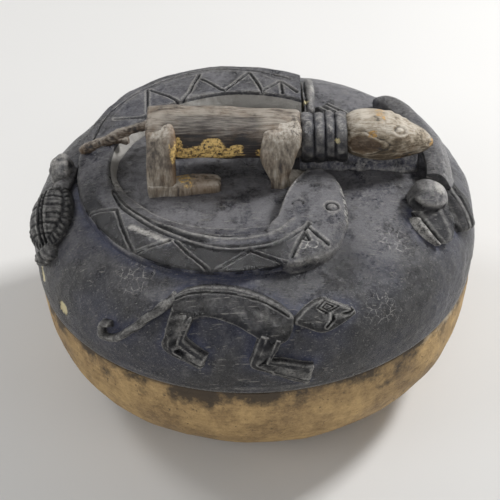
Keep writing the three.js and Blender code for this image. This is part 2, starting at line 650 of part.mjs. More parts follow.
function birdBill() {
  const root = onDome(BIRD_HEAD_PLACE, BIRD_HEAD_LIFT);
  const tip = onDome(BIRD_BILL_TIP, BIRD_BILL_LIFT);
  const [halfWidth, halfHeight] = [BIRD_BILL_WIDTH / 2, BIRD_BILL_WIDTH / 2.4];
  const section = new THREE.Shape().absellipse(0, 0, halfWidth, halfHeight, 0, 2 * Math.PI);
  const path = new THREE.LineCurve3(root, tip);
  const geometry = new THREE.ExtrudeGeometry(section, { steps: 1, curveSegments: 8, extrudePath: path });
  return without(solid(geometry), [birdHead(GAP), domeSolid(GAP)]);
}

function birdWing() {
  const wing = reliefSlab(BIRD_WING_OUTER, BIRD_WING_INNER, BIRD_WING_RELIEF);
  return without(wing, [birdBody(GAP), birdHead(GAP), domeSolid(GAP)]);
}

// Finishes

const paint = { roughness: 0.62, metalness: 0 };
const finishes = {
  bareWood: () => new THREE.MeshStandardMaterial({ color: 0xa98653, roughness: 0.75, metalness: 0 }),
  paintedWood: () => new THREE.MeshStandardMaterial({ color: 0x45474d, ...paint }),
  wornWood: () => new THREE.MeshStandardMaterial({ color: 0x7b6a56, roughness: 0.55, metalness: 0 }),
};

// Assembly

const bowl = new THREE.Group();
bowl.add(piece('bowl_shell', bowlShell(), finishes.bareWood()));
bowl.add(piece('centre_well_ring', centreWellRing(), finishes.bareWood()));
for (let number = 0; number < PARTITION_COUNT; number += 1) {
  bowl.add(piece(`partition_${number + 1}`, partition(number), finishes.bareWood()));
}

const lid = new THREE.Group();
lid.add(piece('lid_dome', lidDome(), finishes.paintedWood()));
lid.add(piece('serpent_band', serpentBand(), finishes.paintedWood()));
lid.add(piece('serpent_head', serpentHead(), finishes.paintedWood()));
lid.add(piece('serpent_tail_bar', tailBar(), finishes.paintedWood()));
lid.add(piece('handle_trunk', handleTrunk(), finishes.wornWood()));
lid.add(piece('handle_neck', handleNeck(), finishes.paintedWood()));
lid.add(piece('handle_head', handleHead(), finishes.wornWood()));
lid.add(piece('handle_neck_web', neckWeb(), finishes.paintedWood()));
lid.add(piece('handle_tail', handleTail(), finishes.wornWood()));
for (const [side, climb, where] of [[-1, NEAR_LEG_CLIMB, 'near'], [1, FAR_LEG_CLIMB, 'far']]) {
  lid.add(piece(`handle_hind_leg_${where}`, hindLeg(side, climb), finishes.wornWood()));
  lid.add(piece(`handle_fore_leg_${where}`, foreLeg(side, climb), finishes.wornWood()));
}
lid.add(piece('beast_body', beastBody().subtract(domeSolid(GAP)), finishes.paintedWood()));
lid.add(piece('beast_head', beastPart(BEAST_BROW, BEAST_JAW), finishes.paintedWood()));
lid.add(piece('beast_tail', beastTail(), finishes.paintedWood()));
lid.add(piece('beast_hind_legs', beastPart(BEAST_HIND_OUTER, BEAST_HIND_INNER), finishes.paintedWood()));
lid.add(piece('beast_fore_legs', beastPart(BEAST_FORE_OUTER, BEAST_FORE_INNER), finishes.paintedWood()));
const shell = without(tortoiseShell(), [serpentBand(GAP), domeSolid(GAP)]);
lid.add(piece('tortoise_shell', shell, finishes.paintedWood()));
lid.add(piece('tortoise_head', tortoiseHead(), finishes.paintedWood()));
lid.add(piece('tortoise_foot', tortoiseFoot(), finishes.paintedWood()));
const body = without(birdBody(), [birdHead(GAP), handleHead(GAP), domeSolid(GAP)]);
lid.add(piece('bird_body', body, finishes.paintedWood()));
lid.add(piece('bird_head', birdHead().subtract(domeSolid(GAP)), finishes.paintedWood()));
lid.add(piece('bird_bill', birdBill(), finishes.paintedWood()));
lid.add(piece('bird_wing', birdWing(), finishes.paintedWood()));

const group = new THREE.Group();
group.add(bowl, lid);

export default group;
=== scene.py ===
"""Lidded divination bowl: the carved, painted and worn surfaces that dress its solid frame.

Shapes are worked out in millimetres on grids of points and put into meshes in metres. +Z is up, the origin
is the centre of the bowl's flat base, and the front beast faces -Y. Azimuth and tilt, in degrees, are the
two angles of a point on the lid: azimuth round +Z from +X, tilt above the level of the lid's widest ring.
"""

import logging
import math
from dataclasses import dataclass, field
from enum import Enum

import bpy
import numpy as np
from mathutils import Matrix, Vector


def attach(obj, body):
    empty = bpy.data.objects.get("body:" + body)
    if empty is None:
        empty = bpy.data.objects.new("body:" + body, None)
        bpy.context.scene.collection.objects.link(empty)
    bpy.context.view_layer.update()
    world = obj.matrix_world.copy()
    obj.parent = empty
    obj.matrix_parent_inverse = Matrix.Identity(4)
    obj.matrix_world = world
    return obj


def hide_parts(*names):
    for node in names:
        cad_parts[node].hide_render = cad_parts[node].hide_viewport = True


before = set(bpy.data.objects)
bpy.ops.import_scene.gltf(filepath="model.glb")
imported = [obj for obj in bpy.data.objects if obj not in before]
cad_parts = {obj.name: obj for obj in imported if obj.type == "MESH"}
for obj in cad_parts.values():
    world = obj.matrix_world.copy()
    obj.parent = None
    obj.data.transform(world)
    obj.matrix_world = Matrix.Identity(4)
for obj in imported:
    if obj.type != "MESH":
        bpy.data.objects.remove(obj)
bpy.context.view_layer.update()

Array = np.ndarray
Line = list[list[float]]
LOG = logging.getLogger("divination_bowl")
Socket = bpy.types.NodeSocket
MM = 0.001  # in metres
METRE = 1000.0  # in millimetres
SEAM = 106.0  # height of the seam above the base
SINK = 4.0  # a carved form starts this far inside what it stands on
TINY = 1e-6  # what is smaller counts as nothing
SHARP_EDGE = 52  # degrees between two faces from which their edge stays sharp
# The numbers per point that the finishes read
VALUES = ("edge", "hollow", "upward", "bare", "craze", "dark", "scuff", "blue", "warm", "dusty")


class Body(Enum):
    """The two loose pieces of the object."""

    BOWL = "bowl"
    LID = "lid"


# Curves and distances


def line_of(*points: list) -> Line:
    """A dataclass field that holds a line through points, or several lines."""
    return field(default_factory=lambda: list(points))


def smooth_line(knots: Line | Array, count: int, closed: bool = False) -> Array:
    """A smooth line through knots: a cubic between each two, its slopes from the root of their distances.

    Args:
        knots: the points that the line goes through.
        count: how many points to give, spread evenly over the stretches.
        closed: whether the line comes back to its first knot.

    Returns:
        count points.
    """
    knots = np.asarray(knots, float)
    if closed:
        padded = np.concatenate([knots[-1:], knots, knots[:2]])
        share = np.arange(count) / count * len(knots)
    else:
        padded = np.concatenate([2 * knots[:1] - knots[1:2], knots, 2 * knots[-1:] - knots[-2:-1]])
        share = np.linspace(0, len(knots) - 1, count)
    place = np.minimum(share.astype(int), len(padded) - 4)
    w = (share - place)[:, None]
    before, start, end, after = (padded[place + k] for k in range(4))
    gap0, gap1, gap2 = (
        np.maximum(np.linalg.norm(b - a, axis=1, keepdims=True), TINY) ** 0.5
        for a, b in ((before, start), (start, end), (end, after))
    )
    slope_start = ((start - before) / gap0 - (end - before) / (gap0 + gap1) + (end - start) / gap1) * gap1
    slope_end = ((end - start) / gap1 - (after - start) / (gap1 + gap2) + (after - end) / gap2) * gap1
    cubic = 2 * start - 2 * end + slope_start + slope_end
    square = -3 * start + 3 * end - 2 * slope_start - slope_end
    return start + w * (slope_start + w * (square + w * cubic))


def even_line(line: Array, step: float) -> Array:
    """The same line with points a constant step apart along it."""
    length = np.concatenate([[0.0], np.cumsum(np.linalg.norm(np.diff(line, axis=0), axis=1))])
    marks = np.linspace(0, length[-1], max(2, int(length[-1] / step) + 1))
    return np.stack([np.interp(marks, length, line[:, axis]) for axis in range(line.shape[1])], axis=1)


def distance_to(points: Array, line: Array) -> Array:
    """The least distance from each point to a line of straight stretches.

    Each point is dropped square onto every stretch, held between the stretch's ends, and the nearest wins.

    Args:
        points: an array of points, its last axis as wide as the line's.
        line: the line's corners.

    Returns:
        the distances, in the shape of points without its last axis.
    """
    flat = points.reshape(-1, points.shape[-1])
    best = np.full(len(flat), np.inf)
    for start, end in zip(line[:-1], line[1:]):
        along = end - start
        share = np.clip((flat - start) @ along / max(along @ along, 1e-9), 0, 1)
        best = np.minimum(best, np.linalg.norm(flat - start - share[:, None] * along, axis=1))
    return best.reshape(points.shape[:-1])


def vee(distance: Array, half_width: float, depth: float) -> Array:
    """The depth of a cut with straight sloping sides at a distance from its middle."""
    return depth * np.clip(1 - distance / half_width, 0, 1)


def bump(distance: Array, size: float, height: float) -> Array:
    """The height of a soft swelling: it falls with the square of the distance over its size."""
    return height * np.exp(-((distance / size) ** 2))


def rounded_edge(distance: Array, radius: float) -> Array:
    """How far a surface has dropped at a distance inside its edge, where the edge is a quarter circle."""
    inside = np.clip(radius - distance, 0, radius)
    return radius - np.sqrt(np.maximum(radius**2 - inside**2, 0))


def round_off(value: Array, start: float, length: float) -> Array:
    """1 up to the start, then down a quarter circle to 0 over a length."""
    return np.sqrt(1 - np.clip((value - start) / length, 0, 1) ** 2)


def step_up(value: Array, low: float, high: float) -> Array:
    """0 below low, 1 above high, and a smooth S between."""
    share = np.clip((value - low) / (high - low), 0, 1)
    return share * share * (3 - 2 * share)


def unevenness(points: Array, size: float, amount: float, seed: int) -> Array:
    """The soft irregularity of hand carving: seven sine waves in seeded directions, added.

    Args:
        points: where to work it out, in millimetres.
        size: the length of a middling wave.
        amount: about how far the sum reaches.
        seed: picks the directions and the starts of the waves.

    Returns:
        one number per point.
    """
    random = np.random.default_rng(seed)
    waves, usual_reach = 7, 2.6
    total = np.zeros(points.shape[:-1])
    for _ in range(waves):
        way = random.normal(size=3)
        way /= np.linalg.norm(way) * size * random.uniform(0.6, 1.5)
        total += np.sin(2 * np.pi * (points @ way) + random.uniform(0, 2 * np.pi))
    return total * amount / usual_reach


def scoops(points: Array, size: float, depth: float, seed: int) -> Array:
    """The shallow scoops that a gouge leaves: each falls from its border to its middle.

    Space is cut into cubes with one seeded middle in each. A point's height is its distance to the nearest
    middle, over the size, squared and times the depth.

    Args:
        points: where to work it out, in millimetres.
        size: width of a scoop.
        depth: of a scoop.
        seed: picks the middles.

    Returns:
        one number per point, about 0 on average.
    """
    share = points / size
    cell = np.floor(share)
    nearest = np.full(points.shape[:-1], np.inf)
    # The fractions of large multiples of sines scatter the middles
    mixing = np.array([[12.9, 78.2, 37.7], [39.3, 11.1, 83.2], [73.2, 52.2, 9.1]])
    for shift in np.ndindex(3, 3, 3):
        corner = cell + np.array(shift) - 1
        jitter = np.abs(np.sin(corner @ mixing + seed)) * 437.58
        middle = corner + jitter - np.floor(jitter)
        nearest = np.minimum(nearest, np.linalg.norm(share - middle, axis=-1))
    return depth * (np.minimum(nearest, 1) ** 2 - 0.3)


# Skins


@dataclass
class Skin:
    """A closed surface over a grid of points, in millimetres.

    Every row is a closed loop. A first or last row whose points fall together is a pole, any other is
    closed with a flat face, and in a ring the last row meets the first.

    Attributes:
        points: rows x columns x 3.
        ring: whether the rows run round and meet.
        values: named numbers per point, for the finishes. Where "calm" is 1, edges and hollows aren't felt.
    """

    points: Array
    ring: bool = False
    values: dict[str, Array] = field(default_factory=dict)

    def normals(self) -> Array:
        """The outward direction at each point: the slope along the rows crossed with that across them."""
        points = self.points
        across = np.roll(points, -1, axis=1) - np.roll(points, 1, axis=1)
        if self.ring:
            along = np.roll(points, -1, axis=0) - np.roll(points, 1, axis=0)
        else:
            along = np.gradient(points, axis=0)
        normal = np.cross(across, along)
        middle = points.reshape(-1, 3).mean(axis=0)
        if np.sum((points - middle) * normal) < 0:
            normal = -normal
        length = np.linalg.norm(normal, axis=-1, keepdims=True)
        normal = normal / np.maximum(length, 1e-9)
        for row, inner in ((0, 1), (-1, -2)):
            if length[row].max() < TINY:
                normal[row] = normal[inner].mean(axis=0)
        return normal

    def raise_by(self, height: Array) -> "Skin":
        """Moves each point outwards by a height."""
        self.points = self.points + self.normals() * height[..., None]
        return self

    def mark(self, key: str, value: Array) -> None:
        """Raises one of the values to a new one, where that is more."""
        self.values[key] = np.maximum(self.values.get(key, 0.0), value)

    def stand_out(self, reach: float) -> Array:
        """How far each point stands out from the mean of the four points a reach away, two ways."""
        points = self.points
        wide = np.linalg.norm(np.roll(points, -1, axis=1) - points, axis=-1).mean()
        long = np.linalg.norm(np.diff(points, axis=0), axis=-1).mean()
        columns = max(1, round(reach / max(wide, TINY)))
        rows = min(max(1, round(reach / max(long, TINY))), len(points) - 1)
        if self.ring:
            before, after = np.roll(points, rows, axis=0), np.roll(points, -rows, axis=0)
        else:
            before = np.concatenate([np.repeat(points[:1], rows, axis=0), points[:-rows]])
            after = np.concatenate([points[rows:], np.repeat(points[-1:], rows, axis=0)])
        sides = np.roll(points, columns, axis=1) + np.roll(points, -columns, axis=1)
        return np.sum((points - (before + after + sides) / 4) * self.normals(), axis=-1)

    def faces(self) -> tuple[Array, list[list[int]]]:
        """The points in use and the faces between them, all facing outwards."""
        rows, columns = self.points.shape[:2]
        number = np.arange(rows * columns).reshape(rows, columns)
        poles = [np.ptp(self.points[row], axis=0).max() < TINY for row in (0, -1)]
        for row, pole in zip((0, -1), poles):
            if pole and not self.ring:
                number[row] = number[row, 0]
        lower, upper = (number, np.roll(number, -1, axis=0)) if self.ring else (number[:-1], number[1:])
        quads = np.stack([lower, np.roll(lower, -1, 1), np.roll(upper, -1, 1), upper], axis=-1).reshape(-1, 4)
        corners = [list(dict.fromkeys(quad)) for quad in quads.tolist()]
        if not self.ring:
            corners += [] if poles[0] else [number[0][::-1].tolist()]
            corners += [] if poles[1] else [number[-1].tolist()]
        flat = self.points.reshape(-1, 3)
        middle = flat.mean(axis=0)
        one, two, three, four = (flat[quads[:, k]] - middle for k in range(4))
        if np.sum(np.cross(three - one, four - two) * (one + two + three + four)) < 0:
            corners = [face[::-1] for face in corners]
        used = np.unique(np.concatenate([np.unique(quads), np.unique(number[[0, -1]])]))
        place = np.zeros(rows * columns, int)
        place[used] = np.arange(len(used))
        return used, [place[face].tolist() for face in corners if len(face) > 2]


def make_piece(
    name: str, skins: list[Skin], body: Body, replaced: list[str], finish: "Finish", reach: float = 2.5
) -> None:
    """Puts skins into one mesh with its wear worked out, its finish on, and its place in the frame told.

    Args:
        name: the piece's name.
        skins: the closed surfaces that it consists of.
        body: the loose piece that it is part of.
        replaced: the frame's nodes that it stands for.
        finish: what it is finished in.
        reach: how far apart, in millimetres, an edge or a hollow is felt.
    """
    points: list[Array] = []
    faces: list[list[int]] = []
    values: dict[str, list[Array]] = {key: [] for key in VALUES}
    for skin in skins:
        used, corners = skin.faces()
        start = sum(len(part) for part in points)
        points.append(skin.points.reshape(-1, 3)[used])
        faces += [[corner + start for corner in face] for face in corners]
        proud = skin.stand_out(reach)
        felt = np.clip(proud / 0.5, -1, 1) * (1 - skin.values.get("calm", 0.0))
        skin.mark("edge", felt)
        skin.mark("hollow", -felt)
        skin.values.setdefault("upward", np.clip(skin.normals()[..., 2], 0, 1))
        for key in VALUES:
            value = np.broadcast_to(skin.values.get(key, 0.0), skin.points.shape[:2])
            values[key].append(value.reshape(-1)[used])
    mesh = bpy.data.meshes.new(name)
    mesh.from_pydata((np.concatenate(points) * MM).tolist(), [], faces)
    for key, parts in values.items():
        layer = mesh.attributes.new(key, "FLOAT", "POINT")
        layer.data.foreach_set("value", np.concatenate(parts).astype(np.float32))
    mesh.shade_smooth()
    mesh.set_sharp_from_angle(angle=math.radians(SHARP_EDGE))
    mesh.materials.append(finish.material())
    piece = bpy.data.objects.new(name, mesh)
    bpy.context.scene.collection.objects.link(piece)
    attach(piece, body.value)
    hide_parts(*replaced)
    LOG.info("%s: %d points, finished in %s", name, len(mesh.vertices), finish.name)


# Nodes and finishes


def linear(colour: str) -> tuple[float, float, float, float]:
    """An sRGB hex colour as the linear values that a socket takes."""
    parts = [int(colour[place : place + 2], 16) / 255 for place in (1, 3, 5)]
    red, green, blue = (c / 12.92 if c <= 0.04045 else ((c + 0.055) / 1.055) ** 2.4 for c in parts)
    return (red, green, blue, 1.0)


def per_metre(size: float) -> float:
    """The scale that gives a pattern features of a size in millimetres."""
    return METRE / size


class Nodes:
    """A material's node tree. The methods add nodes and give the output of the last.

    Attributes:
        tree: the node tree, empty at the start.
        place: the output that gives a point's place on the object.
    """

    def __init__(self, material: bpy.types.Material) -> None:
        """Empties the material's tree."""
        material.use_nodes = True
        self.tree = material.node_tree
        self.tree.nodes.clear()
        self.place = self.add("TexCoord", {}).outputs["Object"]

    def add(self, kind: str, inputs: dict, **settings: object) -> bpy.types.Node:
        """Adds a node, sets it and feeds it, for kinds that have no method of their own.

        Args:
            kind: the node's type, without its common start.
            inputs: socket name or number to a value, a hex colour, or the output that is linked to it.
            settings: the node's own settings.

        Returns:
            the node.
        """
        node = self.tree.nodes.new("ShaderNode" + kind)
        for key, value in settings.items():
            setattr(node, key, value)
        for key, value in inputs.items():
            if isinstance(value, Socket):
                self.tree.links.new(value, node.inputs[key])
            else:
                node.inputs[key].default_value = linear(value) if isinstance(value, str) else value
        return node

    def worn(self, key: str) -> Socket:
        """One of the VALUES that the mesh holds for each of its points."""
        return self.add("Attribute", {}, attribute_name=key).outputs["Fac"]

    def noise(
        self, size: float, detail: float, roughness: float = 0.5, place: Socket | None = None
    ) -> Socket:
        """Noise with features of a size in millimetres, at the object's place or at a given one."""
        place = self.place if place is None else place
        inputs = {"Vector": place, "Scale": per_metre(size), "Detail": detail, "Roughness": roughness}
        return self.add("TexNoise", inputs).outputs["Fac"]

    def drawn(
        self, scale: tuple[float, ...], turn: tuple[float, ...], detail: float, roughness: float = 0.5
    ) -> Socket:
        """Noise drawn out: the place is turned and scaled along each axis first."""
        moved = self.add("Mapping", {"Vector": self.place, "Scale": scale, "Rotation": turn}).outputs[0]
        return self.noise(METRE, detail, roughness, moved)

    def span(self, value: Socket, low: float, high: float, start: float = 0.0, end: float = 1.0) -> Socket:
        """A value between low and high taken to between start and end, and held there."""
        return self.add("MapRange", {0: value, 1: low, 2: high, 3: start, 4: end}).outputs[0]

    def maths(self, operation: str, *values: object, **settings: object) -> Socket:
        """An operation on outputs and numbers."""
        return self.add("Math", dict(enumerate(values)), operation=operation, **settings).outputs[0]

    def mix(self, share: Socket, under: Socket | str, over: Socket | str) -> Socket:
        """The colour between two colours at a share."""
        return self.add("Mix", {0: share, 6: under, 7: over}, data_type="RGBA").outputs[2]

    def bump(
        self, height: Socket, distance: float, strength: float, normal: Socket | None = None,
        invert: bool = False,
    ) -> Socket:
        """A normal tilted by a height that is worth a distance in metres, over an earlier normal if given."""
        inputs = {"Height": height, "Distance": distance, "Strength": strength}
        if normal is not None:
            inputs["Normal"] = normal
        return self.add("Bump", inputs, invert=invert).outputs[0]

    def surface(self, inputs: dict) -> None:
        """Ends the tree in one shader."""
        self.add("OutputMaterial", {"Surface": self.add("BsdfPrincipled", inputs).outputs[0]})


@dataclass(frozen=True)
class Finish:
    """What a surface is finished in.

    Attributes:
        name: its common name.
        slot: the record's material slot; nothing in this script reads it.
    """

    name: str
    slot: str

    def material(self) -> bpy.types.Material:
        """The material, made once."""
        made = bpy.data.materials.get(self.name)
        if made is None:
            made = bpy.data.materials.new(self.name)
            self.build(Nodes(made))
        return made

    def build(self, nodes: Nodes) -> None:
        """Fills the node tree."""
        raise NotImplementedError


@dataclass(frozen=True)
class WornPaint(Finish):
    """Blue-black paint on carved hardwood, rubbed grey on its edges and dark where hands don't reach.

    It gives the eye a near-black charcoal, greyer where it faces up from settled grey grime and painted top
    light, with pale rubbed ridges that also carry painted highlights, fine scratches, chalky scuffs and
    painted highlights, blue paint left in the corners, and in places a net of fine pale cracks. The dark in
    its cuts and hollows is partly thick paint and partly painted shade.

    Attributes:
        paint: the paint itself.
        slate: its bluer clouds.
        dust: paint rubbed thin on what faces up, and painted light on tops and on highlighted places.
        blue: the paint left in corners.
        rubbed: bare grey edges, and painted highlights along edges.
        deep: the paint in cuts, and painted shade in hollows and on shaded sides.
        wood: the wood under chips.
        fleck: the grain where the paint is thin on it.
        scratch: fine scratches.
        chalk_and_highlight: chalky scuffs, and painted highlights.
        crack: the net of cracks.
        gouge: width of a tool mark, in millimetres.
        roughness: of the rubbed paint.
        gloss: how strongly it mirrors, where 0.5 is plain paint.
    """

    paint: str = "#1f1f23"
    slate: str = "#282a38"
    dust: str = "#68676b"
    blue: str = "#353b58"
    rubbed: str = "#a3a09b"
    deep: str = "#0b0b0e"
    wood: str = "#d6caa0"
    fleck: str = "#838280"
    scratch: str = "#8f8c86"
    chalk_and_highlight: str = "#b6b3ad"
    crack: str = "#b4b1ac"
    gouge: float = 8.0
    roughness: float = 0.29
    gloss: float = 0.5

    def build(self, nodes: Nodes) -> None:
        """Clouds of two paints, then dust, rubbing, scratches, cracks, cuts and chips over them."""
        patches = nodes.noise(19, 4.0, 0.6)
        grain = nodes.noise(2.6, 6.0, 0.75)
        fleck = nodes.noise(1.5, 5.0, 0.8)
        colour = nodes.mix(nodes.span(nodes.noise(45, 5.0), 0.42, 0.62), self.paint, self.slate)
        # Settled grey grime and painted top light: a fine grain inside broad patches, more of it where a form
        # faces up and on places marked as lit
        up_dust_and_light = nodes.span(nodes.worn("upward"), 0.66, 0.98, 0.06, 0.62)
        lying = nodes.maths("ADD", up_dust_and_light, nodes.worn("dusty"))
        patchy = nodes.span(nodes.maths("ADD", patches, grain), 0.84, 1.2, 0.05, 1.6)
        colour = nodes.mix(nodes.maths("MULTIPLY", lying, patchy, use_clamp=True), colour, self.dust)
        # Blue paint in the corners, and rubbed edges that also carry painted highlights
        blots = nodes.span(patches, 0.34, 0.56, 0.1, 0.8)
        colour = nodes.mix(nodes.maths("MULTIPLY", nodes.worn("blue"), blots), colour, self.blue)
        rubbing = nodes.span(grain, 0.36, 0.62, 0.15, 0.95)
        colour = nodes.mix(nodes.maths("MULTIPLY", nodes.worn("edge"), rubbing), colour, self.rubbed)
        # Fine flecks, where the paint is thin on the grain of the wood, and fine dark pits
        colour = nodes.mix(nodes.span(fleck, 0.54, 0.7, 0.0, 0.7), colour, self.fleck)
        colour = nodes.mix(nodes.span(fleck, 0.45, 0.34, 0.0, 0.6), colour, self.deep)
        # Scratches: fine noises drawn out two ways, cut off high
        for turn, limit in (((0.3, 0.5, 0.9), 0.64), ((0.9, -0.4, -0.5), 0.66)):
            line = nodes.span(nodes.drawn((70.0, 900.0, 600.0), turn, 3.0), limit, limit + 0.04, 0.0, 0.65)
            colour = nodes.mix(line, colour, self.scratch)
        # Scuffs and painted highlights: chalky streaks in places
        chalky = nodes.maths("MULTIPLY_ADD", nodes.worn("scuff"), 0.62, grain)
        colour = nodes.mix(nodes.span(chalky, 0.86, 1.12, 0.0, 0.85), colour, self.chalk_and_highlight)
        # Cracks: the borders of bent cells, broken up, only where the paint has crazed
        bent = nodes.add("VectorMath", {0: patches.node.outputs["Color"], "Scale": 0.009}, operation="SCALE")
        moved = nodes.add("VectorMath", {0: nodes.place, 1: bent.outputs[0]}, operation="ADD").outputs[0]
        cells = nodes.add("TexVoronoi", {"Vector": moved, "Scale": per_metre(7)}, feature="DISTANCE_TO_EDGE")
        border = nodes.span(cells.outputs["Distance"], 0.0, 0.05, 0.9, 0.0)
        crazed = nodes.maths("MULTIPLY", border, nodes.worn("craze"))
        net = nodes.maths("MULTIPLY", crazed, nodes.span(grain, 0.42, 0.56))
        colour = nodes.mix(net, colour, self.crack)
        # Cuts and hollows keep their thick dark paint, and the same dark paints shade in hollows and on
        # shaded sides
        hollow = nodes.span(nodes.worn("hollow"), 0.25, 1.0, 0.0, 0.8)
        dark = nodes.maths("MAXIMUM", hollow, nodes.worn("dark"))
        colour = nodes.mix(dark, colour, self.deep)
        # Chips down to the wood, with ragged borders
        chip = nodes.span(nodes.maths("ADD", grain, nodes.worn("bare")), 1.0, 1.08)
        colour = nodes.mix(chip, colour, self.wood)
        rough = nodes.span(patches, 0.3, 0.7, self.roughness - 0.06, self.roughness + 0.16)
        marks = {"Vector": moved, "Scale": per_metre(self.gouge), "Smoothness": 0.25}
        facets = nodes.add("TexVoronoi", marks, feature="SMOOTH_F1")
        scooped = nodes.bump(facets.outputs["Distance"], 0.0016, 1.0)
        toothed = nodes.bump(fleck, 0.0011, 1.0, scooped)
        nodes.surface(
            {
                "Base Color": colour,
                "Roughness": nodes.maths("MULTIPLY_ADD", dark, -0.1, rough),
                "IOR": 1.52,
                "Specular IOR Level": self.gloss,
                "Normal": nodes.bump(chip, 0.0008, 1.0, toothed, invert=True),
            }
        )


@dataclass(frozen=True)
class HandledWood(Finish):
    """Hardwood whose paint has been handled off, with fibres along the form and dark paint in its hollows.

    It gives the eye greyed browns in long dark streaks, paler where a form stands proud and lighter where it
    faces up as painted top light, and raw gold patches with ragged borders.

    Attributes:
        dark: the deepest streaks.
        brown: the darkened wood.
        grey: wood bleached and rubbed.
        warm: stains of handling.
        paint: what is left of the paint.
        pit: the specks in bare patches.
        raw: wood freshly bared.
        fibre: length of a streak along X, Y and Z, in millimetres.
        blotch: how far the broad patches differ in tone.
        roughness: of the handled wood.
    """

    dark: str = "#2a2421"
    brown: str = "#5a4c3e"
    grey: str = "#9b9388"
    warm: str = "#735636"
    paint: str = "#262528"
    pit: str = "#82602c"
    raw: str = "#ecca82"
    fibre: tuple[float, float, float] = (26.0, 1.7, 1.7)
    blotch: float = 0.3
    roughness: float = 0.48

    def build(self, nodes: Nodes) -> None:
        """Streaks along the fibres, then paler tops, paint remains and bare patches over them."""
        fibre = nodes.drawn(tuple(per_metre(size) for size in self.fibre), (0.0, 0.0, 0.0), 6.0, 0.7)
        patches = nodes.noise(14, 5.0, 0.62)
        grain = nodes.noise(2.6, 5.0, 0.7)
        both = nodes.maths("ADD", fibre, patches)
        # The tone: 0 is a dark streak, 1 is rubbed grey; pale is painted top light where a form faces up
        pale = nodes.span(nodes.worn("upward"), 0.45, 0.95, 0.0, 0.6)
        streaked = nodes.maths("ADD", pale, nodes.span(fibre, 0.36, 0.64, -0.4, 0.42))
        blotched = nodes.maths("ADD", streaked, nodes.span(patches, 0.34, 0.66, -self.blotch, self.blotch))
        tone = nodes.maths("MULTIPLY_ADD", nodes.worn("edge"), 0.4, blotched)
        colour = nodes.mix(nodes.span(tone, -0.2, 0.22), self.dark, self.brown)
        colour = nodes.mix(nodes.span(tone, 0.22, 0.95), colour, self.grey)
        # Warm stains: some of the patches, and where the wood has been handled most
        spots = nodes.span(nodes.noise(11, 4.0), 0.53, 0.68, 0.0, 0.28)
        colour = nodes.mix(nodes.maths("MAXIMUM", spots, nodes.worn("warm")), colour, self.warm)
        # Paint remains: streaks of it, and all of the hollows, where the dark is also painted shade
        remains = nodes.span(both, 0.88, 0.76, 0.0, 0.8)
        hollow = nodes.span(nodes.worn("hollow"), 0.15, 0.9, 0.0, 0.85)
        threads = nodes.span(fibre, 0.4, 0.66, 1.0, 0.5)
        lowered = nodes.maths("MULTIPLY", nodes.worn("dark"), threads)
        painted = nodes.maths("MAXIMUM", nodes.maths("MAXIMUM", remains, hollow), lowered)
        colour = nodes.mix(painted, colour, self.paint)
        # Bare patches, ragged along the fibres and pitted with dark specks
        ragged = nodes.maths("MULTIPLY_ADD", both, 0.62, nodes.worn("bare"))
        bare = nodes.maths("MULTIPLY", nodes.span(ragged, 1.1, 1.16), nodes.span(grain, 0.4, 0.46))
        colour = nodes.mix(bare, colour, nodes.mix(nodes.span(grain, 0.4, 0.56), self.pit, self.raw))
        raised = nodes.bump(fibre, 0.0014, 0.9)
        nodes.surface(
            {
                "Base Color": colour,
                "Roughness": nodes.span(patches, 0.3, 0.7, self.roughness - 0.1, self.roughness + 0.18),
                "IOR": 1.48,
                "Normal": nodes.bump(grain, 0.0007, 0.7, raised),
            }
        )


@dataclass(frozen=True)
class BowlWood(Finish):
    """Unpainted tan hardwood, cut with an adze and darkened by hands below the rim.

    It gives the eye a dull ochre tan, mottled and finely pitted, with dark specks, short scratches along
    the rim, and brown-black stains that hang down from it.

    Attributes:
        tan: the wood.
        shade: its darker grain.
        stain: the handled rim.
        chalk_and_highlight: pale scuffs.
        stain_top: height of the rim above the base, in millimetres.
        stain_depth: how far down the stain reaches at most.
    """

    tan: str = "#bb9d6d"
    shade: str = "#7c6443"
    stain: str = "#2c2622"
    chalk_and_highlight: str = "#b9ad97"
    stain_top: float = SEAM
    stain_depth: float = 46.0

    def build(self, nodes: Nodes) -> None:
        """Mottling, then specks, the rim's stain and scuffs over it."""
        clouds = nodes.noise(42, 5.0)
        mottle = nodes.noise(9, 6.0, 0.7)
        fine = nodes.noise(1.8, 4.0, 0.7)
        level = nodes.drawn((45.0, 45.0, 420.0), (0.0, 0.0, 0.0), 4.0)
        grained = nodes.maths("MULTIPLY_ADD", level, 0.3, nodes.maths("ADD", clouds, mottle))
        share = nodes.span(nodes.maths("MULTIPLY_ADD", fine, 0.45, grained), 1.14, 1.62)
        colour = nodes.mix(share, self.shade, self.tan)
        # The stain hangs in blots below the rim and fades downwards
        height = nodes.add("SeparateXYZ", {0: nodes.place}).outputs["Z"]
        foot = (self.stain_top - self.stain_depth) * MM
        below = nodes.span(height, foot, self.stain_top * MM, 0.0, 0.42)
        hanging = nodes.maths("ADD", below, nodes.noise(34, 7.0, 0.68))
        specks = nodes.span(nodes.noise(5, 7.0, 0.8), 0.59, 0.64, 0.0, 0.8)
        dirt = nodes.maths("MAXIMUM", nodes.span(hanging, 0.77, 0.9, 0.0, 0.88), specks)
        colour = nodes.mix(nodes.maths("MAXIMUM", dirt, nodes.worn("dark")), colour, self.stain)
        chalky = nodes.maths("MULTIPLY_ADD", nodes.worn("scuff"), 0.6, mottle)
        colour = nodes.mix(nodes.span(chalky, 0.82, 1.1, 0.0, 0.8), colour, self.chalk_and_highlight)
        adzed = nodes.bump(mottle, 0.0012, 0.7)
        nodes.surface(
            {
                "Base Color": colour,
                "Roughness": nodes.span(clouds, 0.3, 0.7, 0.56, 0.78),
                "IOR": 1.45,
                "Normal": nodes.bump(fine, 0.0006, 0.7, adzed),
            }
        )


